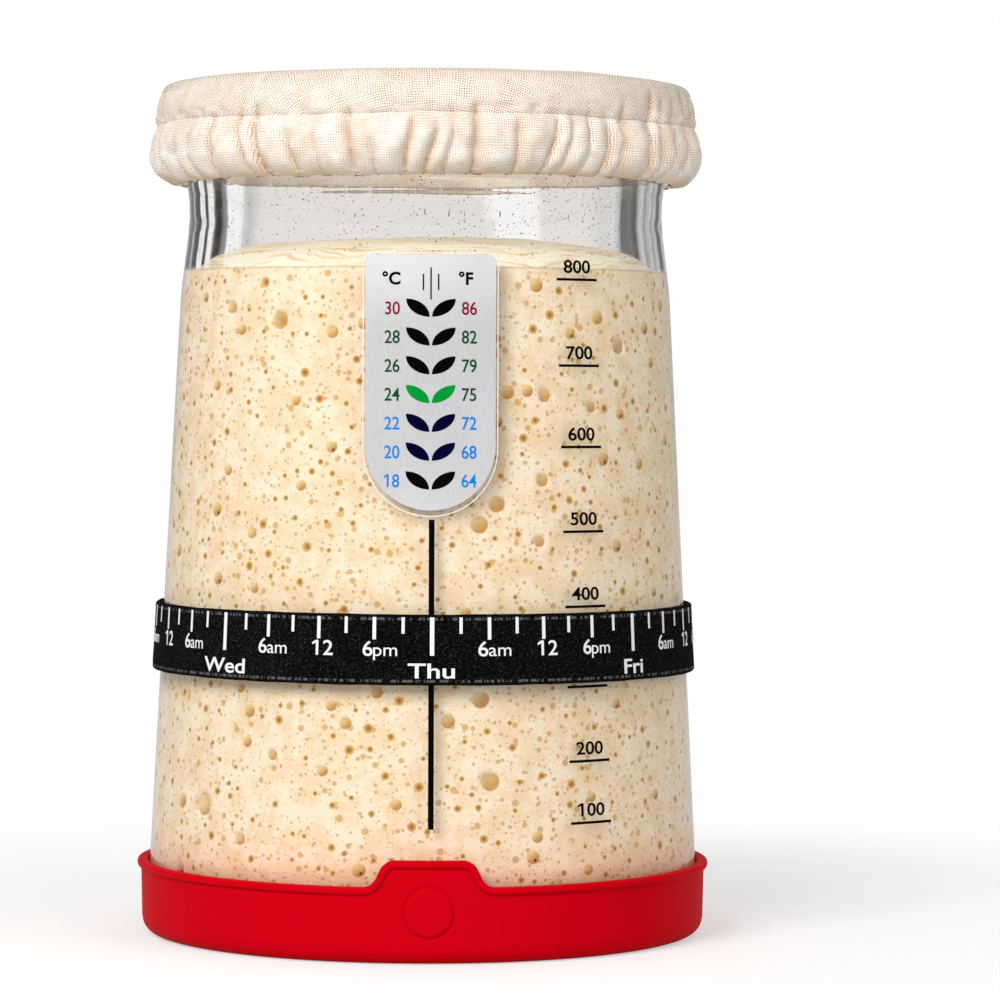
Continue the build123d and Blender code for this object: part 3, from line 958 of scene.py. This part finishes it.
def stripEdge(name, margin, footMargin, width, low, high):
    # A flat ring that follows the outline: two loops of points, each at two lifts
    loops = []
    for shift in (0, -width):
        heights, widths = stripOutline(margin + shift, footMargin + shift)
        top = np.linspace(-1, 1, 26)[1:-1] * widths[-1]
        across = np.concatenate([-widths, top, widths[::-1]])
        loops.append((across, np.concatenate([heights, heights[-1] + 0 * top, heights[::-1]])))
    (outerAcross, outerUp), (innerAcross, innerUp) = loops
    rows = [onWall(outerAcross, outerUp, low), onWall(outerAcross, outerUp, high)]
    rows += [onWall(innerAcross, innerUp, high), onWall(innerAcross, innerUp, low)]
    return ringSurface(name, np.stack(rows), loop=True, smooth=False)


def leaf(row, mirrored):
    # A leaf between two quarter-round arcs, as arcs that pass over from one to the other
    gap = thermometer["leafClearance"]
    low = faceHeights[0] + thermometer["leafFirst"] + row * thermometer["leafPitch"] + gap
    near = thermometer["leafSplit"] / 2 + gap
    wide, tall = thermometer["leafWidth"] - 2 * gap, thermometer["leafHeight"] - 2 * gap
    angle = np.linspace(0, pi / 2, 22)[:, None]
    share = np.linspace(0, 1, 7)[None]
    upperAcross, upperHeight = near + wide * (1 - np.cos(angle)), low + tall * np.sin(angle)
    lowerAcross, lowerHeight = near + wide * np.sin(angle), low + tall * (1 - np.cos(angle))
    across = lowerAcross + share * (upperAcross - lowerAcross)
    height = lowerHeight + share * (upperHeight - lowerHeight)
    across = -across if mirrored else across
    outer = onWall(across, height, printLift + thermometer["leafProud"])
    return plate("leaf", outer, onWall(across, height, faceLift))


film = flatFinish("clearFilm", (0.95, 0.95, 0.95, 1), 0.05, Transmission_Weight=1.0, IOR=1.45)
filmMargins = (thermometer["filmMargin"], thermometer["filmFootMargin"])
filmPiece = strip("thermometerFilm", *filmMargins, filmLift, thermometer["film"])
dress(filmPiece, "jar", film, "thermometer_film", slot="clear_film")
filmPiece.visible_shadow = False
edgeLifts = (filmLift + thermometer["film"] / 2, faceLift + 0.02)
# Painted highlight: a pale ring round the film's cut edge, for the light that the edge catches
filmEdge = stripEdge("filmEdge", *filmMargins, thermometer["filmEdge"], *edgeLifts)
dress(filmEdge, "jar", flatFinish("filmEdgeHighlight", tint(238, 234, 228), 0.25), slot="clear_film")
silver = Finish("brushedSilver", Metallic=0.3, Roughness=0.34, Specular_IOR_Level=0.3)
grain = silver.noise(silver.place((1, 1, 0.3)), 0.35, 4, 0.7)
# Painted sheen: lighter in slow patches and towards the top, standing for reflections on the silver
paintedSheen = silver.ramp(silver.noise(silver.place((1, 1, 0.6)), 26, 1), 0.35, 0.65, 0.1, 0.6)
upward = silver.axes(silver.place())[2]
paintedSheen = silver.math("ADD", paintedSheen, silver.ramp(upward, 114, 130, 0.0, 0.7), clamp=True)
plain = silver.mix(paintedSheen, tint(204, 204, 206), tint(238, 238, 241))
silver.paint(silver.mix(silver.ramp(grain, 0.35, 0.65, 0.0, 0.3), plain, tint(234, 234, 237)))
facePiece = strip("thermometerFace", 0, 0, faceLift, thermometer["face"])
dress(facePiece, "jar", silver.material, "thermometer_face", slot="silver_face")
leafInks = {
    "dark": ("cell_dark", flatFinish("leafBlack", tint(4, 4, 5), 0.35, Specular_IOR_Level=0.03)),
    "navy": ("cell_navy", flatFinish("leafNavy", tint(2, 2, 42), 0.35, Specular_IOR_Level=0.03)),
    "green": ("cell_green", flatFinish("leafGreen", tint(2, 146, 50), 0.35, Specular_IOR_Level=0.03)),
}
leafShades = ("dark", "navy", "navy", "green", "dark", "dark", "dark")
for row, (warmth, shade) in enumerate(zip(cellNames, leafShades)):
    slot, ink = leafInks[shade]
    pair = joined(f"leafCell{warmth}", [leaf(row, False), leaf(row, True)])
    dress(pair, "jar", ink, f"cell_{warmth}c", slot=slot)

numberInks = {
    "printRed": (tint(140, 0, 12), (30,)),
    "printGreen": (tint(0, 74, 34), (24, 26, 28)),
    "printBlue": (tint(12, 128, 214), (18, 20, 22)),
}
leafMiddle = faceHeights[0] + thermometer["leafFirst"] + thermometer["leafHeight"] / 2


def onFace(words, size, across, baseline, bold=0.03, narrow=0.86):
    # A print on the face, its middle at a place across as seen from the front
    azimuth = np.arcsin(across / wallRadius(baseline))
    return wallText("print", words, size, azimuth, baseline, bold, narrow, printLift)


for inkName, (color, warmths) in numberInks.items():
    pieces = []
    for warmth in warmths:
        row = cellNames.index(warmth)
        baseline = leafMiddle + row * thermometer["leafPitch"] - thermometer["numberHeight"] / 2
        for words, side in ((str(warmth), -1), (str(fahrenheit[row]), 1)):
            across = side * thermometer["numberAcross"]
            pieces.append(onFace(words, thermometer["numberHeight"], across, baseline))
    dress(joined(inkName, pieces), "jar", flatFinish(inkName, color, 0.45, Specular_IOR_Level=0.1))
head = []
for sign, across in thermometer["signs"]:
    size, baseline = thermometer["signHeight"], thermometer["signBaseline"]
    head.append(onFace(sign, size, across, baseline, bold=0.09, narrow=1))
for across, low, high in thermometer["awns"]:
    head.append(wallPatch("awn", across / wallRadius(low), low, high, thermometer["awnWidth"], printLift))
dress(joined("scaleHead", head), "jar", blackInk)
print("thermometer made")


# Feeding band

band = {
    "columns": 480,
    "gap": 0.3,
    "thickness": 1.25,
    "edge": 0.5,
    "lapLength": 9.0,
    "lapThickness": 1.1,
    "dayStep": radians(46.6),
    "frontAzimuth": radians(0.45),
    "days": ("Mon", "Tue", "Wed", "Thu", "Fri", "Sat", "Sun"),
    "frontDay": 3,
    "ticks": {"day": (7.0, 0.8), "quarter": (4.1, 0.66), "eighth": (3.0, 0.58)},
    "tickDrop": 0.5,
    "hourHeight": 2.85,
    "hourDrop": 7.6,
    "hourShape": {"bold": 0.03, "narrow": 1.1},
    "letterHeight": 2.5,
    "letterShape": {"bold": 0.0, "narrow": 1.12},
    "apart": (2.0, 1.25),  # digits to the left and letters to the right of the hour's place
    "dayHeight": 2.8,
    "dayRise": 1.4,
    "dayShape": {"bold": 0.055, "narrow": 1.45},
    "textRadius": 52,
    "printLift": 0.03,
    "edgeThreads": (5.35, 5.55, 5.8, 6.0),  # how far from the band's middle
    # The sewn lap's stitches: from its ends, how far one follows the other, length and thread
    "stitchInset": 1.6,
    "stitchStep": 1.5,
    "stitchLength": 1.1,
    "stitchThread": 0.3,
}
bandLow, bandHigh = bandHeights


def bandSurface(height):
    # Outside radius of the band
    return wallRadius(height) + band["gap"] + band["thickness"]


def bandSection(thickness, gap):
    # Rounded strip on the tapering wall, as radii and heights round its section
    edge = min(band["edge"], thickness / 2)
    corners = [
        (gap, (bandLow + bandHigh) / 2),
        (gap, bandLow),
        (gap + thickness, bandLow),
        (gap + thickness, bandHigh),
        (gap, bandHigh),
        (gap, (bandLow + bandHigh) / 2),
    ]
    section = spacedPath(roundedPath(corners, [edge] * 4, 20), 0.7)[:-1]
    return section[:, :1] + wallRadius(section[:, 1:]), section[:, 1:]


def feltNoise(azimuth, height, draw, depth):
    # Slow unevenness of the felt: a few waves of random phase
    swell = 0
    for turns, rise in ((7, 0.35), (13, 0.6), (23, 1.1), (41, 0.9)):
        swell = swell + np.sin(turns * azimuth + rise * height + draw.uniform(0, 2 * pi))
    return depth * swell / 4


def bandMesh():
    # The section turned about the axis, its outside and its two edges a little uneven
    draw = np.random.default_rng(5)
    radius, height = bandSection(band["thickness"], band["gap"])
    azimuth = allRound(band["columns"])[None]
    outside = radius > wallRadius(height) + band["gap"] + 0.1
    height = height + feltNoise(azimuth, 0, draw, 0.07) * np.sign(height - (bandLow + bandHigh) / 2)
    radius = radius + np.where(outside, feltNoise(azimuth, height, draw, 0.03), 0)
    return ringSurface("feedingBand", turned(radius, height, azimuth))


def lapMesh():
    # The sewn lap at the back: the same strip, laid over for a short way, with its ends rounded down
    along = np.linspace(-1, 1, 25)[:, None]
    turn = pi + along * band["lapLength"] / 2 / wallRadius(bandLow)
    ease = np.sqrt(1 - np.clip((np.abs(along) - 0.86) / 0.14, 0, 1) ** 2) * 0.98 + 0.02
    radius, height = bandSection(band["lapThickness"], band["gap"] + band["thickness"])
    base = wallRadius(height) + band["gap"] + band["thickness"] - 0.1
    grid = turned(base.T + (radius - base).T * ease, height.T, turn)
    return ringSurface("bandLap", grid)


felt = Finish("blackFelt", Roughness=0.95, Specular_IOR_Level=0.03)
fibres = felt.noise(felt.place((1, 1, 1.6)), 0.42, 6, 0.85)
feltColor = felt.mix(felt.ramp(fibres, 0.52, 0.66), tint(10, 10, 10), tint(92, 92, 92))
# A row of short upright threads along each edge
offMiddle = felt.math("SUBTRACT", felt.axes(felt.place())[2], (bandLow + bandHigh) / 2)
edgeRow = felt.between(felt.math("ABSOLUTE", offMiddle), *band["edgeThreads"])
threads = felt.ramp(felt.noise(felt.place((1, 1, 0.2)), 0.55, 1), 0.46, 0.56, 0.0, 0.48)
felt.paint(felt.mix(felt.product(edgeRow, threads), feltColor, tint(170, 168, 164)))
felt.bump(fibres, 0.7, 1.0)
dress(bandMesh(), "band", felt.material, "feeding_band", slot="band_elastic")
dress(lapMesh(), "band", felt.material, slot="band_elastic")


def stitch(azimuth, height):
    # One upright stitch on the lap: a short bowed thread, thickest in the middle
    along = np.linspace(-1, 1, 7)[:, None]
    around = allRound(6)[None]
    slim = band["stitchThread"] / 2 * np.sqrt(1 - 0.96 * along**2)
    side, out = slim * np.cos(around), slim * np.sin(around) + 0.12 * (1 - along**2)
    level = height + along * band["stitchLength"] / 2 + 0 * out
    radius = bandSurface(level) + band["lapThickness"]
    return ringSurface("stitch", turned(radius + out, level, azimuth + side / radius))


thread = flatFinish("blackThread", tint(44, 44, 44), 0.7)
stitches = []
for side in (-1, 1):
    fromMiddle = band["lapLength"] / 2 - band["stitchInset"]
    azimuth = pi + side * fromMiddle / wallRadius(bandLow)
    for level in np.arange(bandLow + 1.2, bandHigh - 0.8, band["stitchStep"]):
        stitches.append(stitch(azimuth, level))
dress(joined("lapStitches", stitches), "band", thread)

chalk = flatFinish("whitePrint", tint(240, 240, 244), 0.6)
prints = []
onBand = {"lift": band["printLift"], "radiusAt": bandSurface}
hourBase = bandHigh - band["hourDrop"]
digitsLeft, lettersRight = (shift / band["textRadius"] for shift in band["apart"])
for number, day in enumerate(band["days"]):
    midnight = band["frontAzimuth"] + (number - band["frontDay"]) * band["dayStep"]
    steps = 8 if number < len(band["days"]) - 1 else 6  # the last evening is under the lap
    for eighth in range(steps):
        kind = "day" if eighth == 0 else "quarter" if eighth % 2 == 0 else "eighth"
        length, width = band["ticks"][kind]
        top = bandHigh - band["tickDrop"]
        turn = midnight + eighth * band["dayStep"] / 8
        prints.append(wallPatch("tick", turn, top - length, top, width, **onBand))
    place = (day, band["dayHeight"], midnight, bandLow + band["dayRise"])
    prints.append(wallText("day", *place, **band["dayShape"], **onBand))
    evening = "am" if day == "Tue" else "pm"  # Tuesday's evening is marked am on the photo's band
    hours = (("6", "am"), ("12", ""), ("6", evening))
    for quarter, (digits, letters) in enumerate(hours[:steps // 2 - 1], start=1):
        turn = midnight + (quarter * 2 + 0.15) * band["dayStep"] / 8
        place = (digits, band["hourHeight"], turn - digitsLeft if letters else turn, hourBase)
        prints.append(wallText("hour", *place, **band["hourShape"], **onBand))
        if letters:
            place = (letters, band["letterHeight"], turn + lettersRight, hourBase)
            prints.append(wallText("half", *place, **band["letterShape"], **onBand))
dress(joined("bandPrint", prints), "band", chalk)
print("feeding band made")


# Cloth cover

cover = {
    "cloth": 0.4,
    "rows": (74, 62, 12),  # of the crown, of the hem, and of the hem's inside up the throat
    "thread": 0.47,
    "columns": 720,
    "seed": 3,
    "seamHeight": 155.75,
    "seamRadius": 52.0,
    "folds": 54,
    "foldWidths": (0.5, 1.6),
    "foldDepths": (0.4, 1.0),
    "foldTops": (153.0, 160.5),
    "foldDepth": 3.0,
    "wrinkle": 0.45,
    "foldLean": 0.035,
    "tightOnRight": 6.5,
    "elasticRoom": 49.5,
    "elasticHeights": (145.2, 149),
    # Share of the fold's depth at heights up from the hem's edge, over the seam into the crown
    "foldShares": (
        (144.4, 0.8), (146.5, 1.0), (150, 1.0), (154, 0.8), (156.5, 0.6), (160, 0.4), (163, 0),
    ),
    "hemWave": 0.6,
    "seamWave": 0.45,
    "weaveAround": 376,
    # Smooth section of the cover, as radius and height: the crown from its middle, the hem down and
    # round its edge, and the hem's inside up the throat of the glass
    "crownKnots": (
        (0.08, 163.9), (12, 163.9), (25, 163.95), (37, 164.1), (44, 164.3), (47.6, 164.2),
        (49.7, 163.5), (51.0, 162.4), (51.8, 160.9), (52.2, 159.1), (52.3, 157.5), (52.2, 156.4),
    ),
    "hemKnots": (
        (52.3, 155.2), (52.8, 154.2), (53.3, 152.6), (53.5, 150.8), (53.3, 149.0),
        (52.5, 147.2), (51.3, 145.9), (49.9, 145.0), (48.7, 144.8), (47.7, 145.2),
    ),
    "insideKnots": ((47.45, 146.5), (47.6, 149.0), (49.2, 152.0), (51.0, 154.0), (51.2, 155.2)),
}
seamPlace = (cover["seamRadius"], cover["seamHeight"])


def gathers(azimuth, height):
    # How far down a point lies in the folds, from 0 on a ridge to 1 in a crease. The folds are of
    # uneven width, rounded above and pinched below. Each crease has its own depth and ends at its
    # own height, higher on the right, where the cloth is drawn tight.
    draw = np.random.default_rng(cover["seed"])
    count = cover["folds"]
    edges = np.concatenate([[0], np.cumsum(draw.uniform(*cover["foldWidths"], count))])
    depths, tops = draw.uniform(*cover["foldDepths"], count), draw.uniform(*cover["foldTops"], count)
    lean = cover["foldLean"] * softNoise(azimuth, height - 100, count // 2, 9.0, 71)
    phase = np.interp((azimuth + lean) % (2 * pi), edges / edges[-1] * 2 * pi, np.arange(count + 1))
    crease = np.rint(phase).astype(int) % count
    valley = 1 - np.abs(np.sin(pi * phase)) ** 0.55
    tight = cover["tightOnRight"] * np.clip(np.sin(azimuth - 0.1), 0, 1)
    up = np.clip((tops[crease] + tight - height) / 5, 0, 1)
    return valley * depths[crease] * up * up * (3 - 2 * up)


def foldDepth(height):
    # The folds' depth at a height
    heights, shares = zip(*cover["foldShares"])
    return cover["foldDepth"] * np.interp(height, heights, shares)


def wander(azimuth, seed, slow=13, quick=37):
    # A line that strays up and down round the jar, from -1 to 1
    slowly = softNoise(azimuth, 0.0, slow, 1.0, seed)
    return 0.7 * slowly + 0.3 * softNoise(azimuth, 0.0, quick, 1.0, seed + 1)


def coverSurface(path):
    # The path turned about the axis, with its folds pressed in and its seam straying a little
    azimuth = allRound(cover["columns"])[None]
    height = path[:, 1:] + 0 * azimuth
    side = np.clip((path[:, :1] - 44) / 6, 0, 1)
    valley = gathers(azimuth, height)
    wrinkle = cover["wrinkle"] * softNoise(azimuth, height - 100, 150, 2.6, 81)
    wrinkle = wrinkle * np.clip(158 - height, 0, 1)
    radius = path[:, :1] - side * (valley * foldDepth(height) + wrinkle)
    low, high = cover["elasticHeights"]
    besideElastic = (height > low) & (height < high) & (path[:, :1] > cover["elasticRoom"])
    radius = np.where(besideElastic, np.maximum(radius, cover["elasticRoom"]), radius)
    nearSeam = np.exp(-(((height - cover["seamHeight"]) / 3.0) ** 2))
    height = height + side * nearSeam * cover["seamWave"] * wander(azimuth, 41)
    return azimuth, radius, height, valley


def pathLength(path):
    # How far along the path each of its points is
    return np.concatenate([[0], np.cumsum(np.hypot(*np.diff(path, axis=0).T))])[:, None]


def thickSheet(name, radius, height, azimuth, valley, uvGrid):
    # How much painted shade each point of its outer side gets is kept for the finish; the inner side gets
    # none.
    # Its creases are kept for the finish.
    down, out = np.gradient(height, axis=0), np.gradient(radius, axis=0)
    length = np.hypot(down, out) + 1e-9
    rows = np.linspace(0, len(radius) - 1, len(radius) // 2).astype(int)[::-1]
    inRadius = (radius + cover["cloth"] * down / length)[rows]
    inHeight = (height - cover["cloth"] * out / length)[rows]
    grid = np.concatenate([turned(radius, height, azimuth), turned(inRadius, inHeight, azimuth)])
    made = ringSurface(name, grid, np.concatenate([uvGrid, uvGrid[rows]]))
    paintedShade = np.concatenate([valley, 0 * valley[rows]]).astype(np.float32)
    made.data.attributes.new("crease", "FLOAT", "POINT").data.foreach_set("value", paintedShade.ravel())
    return made


def crownMesh():
    # The crown's section, turned. Its weave runs straight across from the middle.
    path = smoothPath([*cover["crownKnots"], seamPlace], cover["rows"][0])
    azimuth, radius, height, valley = coverSurface(path)
    # The top is slack cloth, a little uneven
    slack = np.clip(1.4 - np.abs(path[:, :1] - 30) / 22, 0, 1)
    slow = softNoise(azimuth, path[:, :1], 11, 9.0, 51)
    height = height + slack * (0.4 * slow + 0.12 * softNoise(azimuth, path[:, :1], 29, 3.0, 52))
    turn = np.linspace(0, 2 * pi, cover["columns"] + 1)[None]
    along = pathLength(path)
    uvGrid = np.stack([along * np.sin(turn), -along * np.cos(turn)], axis=-1)
    return thickSheet("coverCrown", radius, height, azimuth, valley, uvGrid)


def hemMesh():
    # The hem's section, turned. Its weave runs round the jar.
    _, outRows, inRows = cover["rows"]
    outside = smoothPath([seamPlace, *cover["hemKnots"]], outRows)
    inside = smoothPath([cover["hemKnots"][-1], *cover["insideKnots"]], inRows)[1:]
    path = np.concatenate([outside, inside])
    azimuth, radius, height, valley = coverSurface(path)
    # Inside, the cloth lies flat on the elastic, and the folds are left out there
    flat = np.arange(len(path))[:, None] >= len(outside) - 4
    radius = np.where(flat, path[:, :1], radius)
    # The lower edge is ruffled: it rises in the creases and strays up and down
    low = np.exp(-(((height - 144.5) / 2.0) ** 2))
    height = height + low * cover["hemWave"] * (1.1 * valley * ~flat + 0.8 * wander(azimuth, 61, 17, 61))
    turn = np.linspace(0, 1, cover["columns"] + 1)[None]
    along = pathLength(path)
    uvGrid = np.stack([turn * cover["weaveAround"] + 0 * along, along + 0 * turn], axis=-1)
    # Painted shade, in the creases and along the lower edge, for the finish
    paintedShade = np.maximum(valley, 0.4 * low) * ~flat
    return thickSheet("coverHem", radius, height, azimuth, paintedShade, uvGrid)


def muslin(name, threads, gaps):
    # Plain weave: threads cross both ways, and the gaps between them look darker
    finish = Finish(name, Roughness=0.9, Specular_IOR_Level=0.05)
    weave = finish.node("ShaderNodeUVMap", {}, uv_map="weave").outputs[0]
    inputs = {"Vector": weave, "Scale": 0.5, "Detail": 2.0}
    wobble = finish.node("ShaderNodeTexNoise", inputs).outputs[1]
    waves = []
    for place, stray in zip(finish.axes(weave)[:2], finish.axes(wobble)[:2]):
        shift = finish.product(finish.math("SUBTRACT", stray, 0.5), 0.9)
        turn = finish.product(finish.math("ADD", place, shift), 2 * pi / cover["thread"])
        waves.append(finish.ramp(finish.math("COSINE", turn), -0.5, 0.8))
    gap = finish.product(*waves)
    openness = finish.ramp(finish.noise(finish.place(), 2.6, 4), 0.36, 0.62, 0.5, 1.0)
    cloud = finish.ramp(finish.noise(finish.place(), 7, 2), 0.3, 0.7)
    soft = finish.mix(cloud, threads, tint(244, 230, 212))
    color = finish.mix(finish.product(gap, openness), soft, gaps)
    # Painted shade: the crease attribute darkens the creases, and the hem's lower edge, to beige
    crease = finish.ramp(finish.attribute("crease", "Fac"), 0.1, 0.75, 0.0, 0.9)
    finish.paint(finish.mix(crease, color, tint(234, 206, 178), "MULTIPLY"))
    finish.bump(finish.math("SUBTRACT", 1.0, gap), 0.1, 0.7)
    # Light passes through the thin cloth, and most of it isn't stopped
    ray = finish.ray()
    light = finish.math("MAXIMUM", ray["Is Shadow Ray"], ray["Is Diffuse Ray"])
    finish.coat(finish.either(finish.product(light, 0.95), finish.shader.outputs[0], finish.clear()))
    return finish.material


# The same muslin twice: the hem's threads and gaps are painted lighter than the crown's, as painted light
crownCloth = muslin("crownMuslin", tint(252, 240, 225), tint(146, 90, 48))
hemCloth = muslin("hemMuslin", tint(255, 250, 242), tint(190, 136, 94))
crown = dress(crownMesh(), "cover", crownCloth, "cover_crown", slot="cover_cloth")
hem = dress(hemMesh(), "cover", hemCloth, "cover_hem", slot="cover_cloth")
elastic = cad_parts["cover_elastic"]
elastic.data.materials.clear()
elastic.data.materials.append(flatFinish("hemElastic", tint(235, 230, 222), 0.8))
print("cover made")


# Stage, lights and camera

stage = {
    "distance": 838.0,
    "eyeHeight": 104.7,
    "azimuth": radians(-1.2),
    "focalPixels": 4300.0,
    "axisColumn": 424.5,
    "horizonRow": 393.0,
    "roll": radians(0.3),
    "imagePixels": 1000,
    "sensor": 36.0,
    "floorReach": 6000,
    "floorDrop": 0.05,  # under the boot, so that the two don't lie in one plane
    "lampAim": 80,
}


def floorFinish():
    # White to the camera, to gloss and through glass, and darker where the jar's shadow falls
    finish = Finish("paperFloor", Base_Color=(0.62, 0.62, 0.62, 1), Roughness=1.0, Specular_IOR_Level=0.0)
    ray = finish.ray()
    gloss = finish.product(ray["Is Glossy Ray"], 0.4)
    seen = finish.math("MAXIMUM", ray["Is Camera Ray"], ray["Is Transmission Ray"])
    paper = finish.node("ShaderNodeBsdfDiffuse", {"Color": (0.6, 0.6, 0.6, 1)}).outputs[0]
    near = finish.node("ShaderNodeAddShader", {0: finish.glow(0.46), 1: paper}).outputs[0]
    away = finish.length(*finish.axes(finish.place()))
    lit = finish.either(finish.ramp(away, 80, 260), near, finish.glow(1.0))
    both = finish.either(finish.math("MAXIMUM", seen, gloss), finish.shader.outputs[0], lit)
    # Its face points down. Seen from below it is clear, so that the boot's foot shows.
    finish.coat(finish.either(finish.behind(), finish.clear(), both))
    return finish.material


reach, drop = stage["floorReach"], stage["floorDrop"]
floorCorners = [(x * reach, y * reach, -drop) for x, y in ((-1, -1), (1, -1), (1, 1), (-1, 1))]
floor = finishMesh("paperFloor", floorCorners, [[0, 1, 2, 3]], smooth=False)
floor.data.materials.append(floorFinish())

world = bpy.data.worlds.new("studio")
bpy.context.scene.world = world
world.use_nodes = True
# The backdrop is white to the camera and through glass, and dimmer in reflections and as light
backdrop = Nodes(world.node_tree)
ray = backdrop.ray()
seen = backdrop.math("MAXIMUM", ray["Is Camera Ray"], ray["Is Transmission Ray"])
seen = backdrop.math("MAXIMUM", seen, backdrop.product(ray["Is Glossy Ray"], 0.22))
inputs = {"Color": (1, 1, 1, 1), "Strength": backdrop.math("MAXIMUM", seen, 0.46)}
backdrop.fill(world.node_tree.nodes["Background"], inputs)


def lamp(name, azimuth, height, distance, width, tall, power):
    # A soft box that looks at the middle of the jar, with its sides level and upright
    data = bpy.data.lights.new(name, "AREA")
    data.shape = "RECTANGLE"
    data.size, data.size_y = width * mm, tall * mm
    data.energy = power
    made = inScene(name, data)
    turn = radians(azimuth)
    place = Vector((distance * sin(turn), -distance * cos(turn), height)) * mm
    made.location = place
    made.rotation_mode = "QUATERNION"
    aim = Vector((0, 0, stage["lampAim"])) * mm
    made.rotation_quaternion = (aim - place).to_track_quat("-Z", "Y")
    made.visible_glossy = False
    made.visible_transmission = False
    made.visible_camera = False


# Azimuth in degrees, height, distance, width and height of the box, and power in watts
lamp("keyLight", -30, 620, 950, 500, 500, 8.2)
lamp("fillLight", 50, 400, 1050, 600, 600, 2.2)

camera = inScene("camera", bpy.data.cameras.new("camera"))
camera.data.sensor_width = stage["sensor"]
camera.data.lens = stage["focalPixels"] * stage["sensor"] / stage["imagePixels"]
camera.data.clip_start = 0.01
centre = stage["imagePixels"] / 2
aside = atan((centre - stage["axisColumn"]) / stage["focalPixels"])
down = atan((centre - stage["horizonRow"]) / stage["focalPixels"])
camera.location = turned(stage["distance"], stage["eyeHeight"], stage["azimuth"]) * mm
camera.rotation_mode = "QUATERNION"
heading = Quaternion((0, 0, 1), stage["azimuth"] - aside)
pitch = Quaternion((1, 0, 0), pi / 2 - down)
camera.rotation_quaternion = heading @ pitch @ Quaternion((0, 0, 1), stage["roll"])
bpy.context.scene.camera = camera
print("stage made")
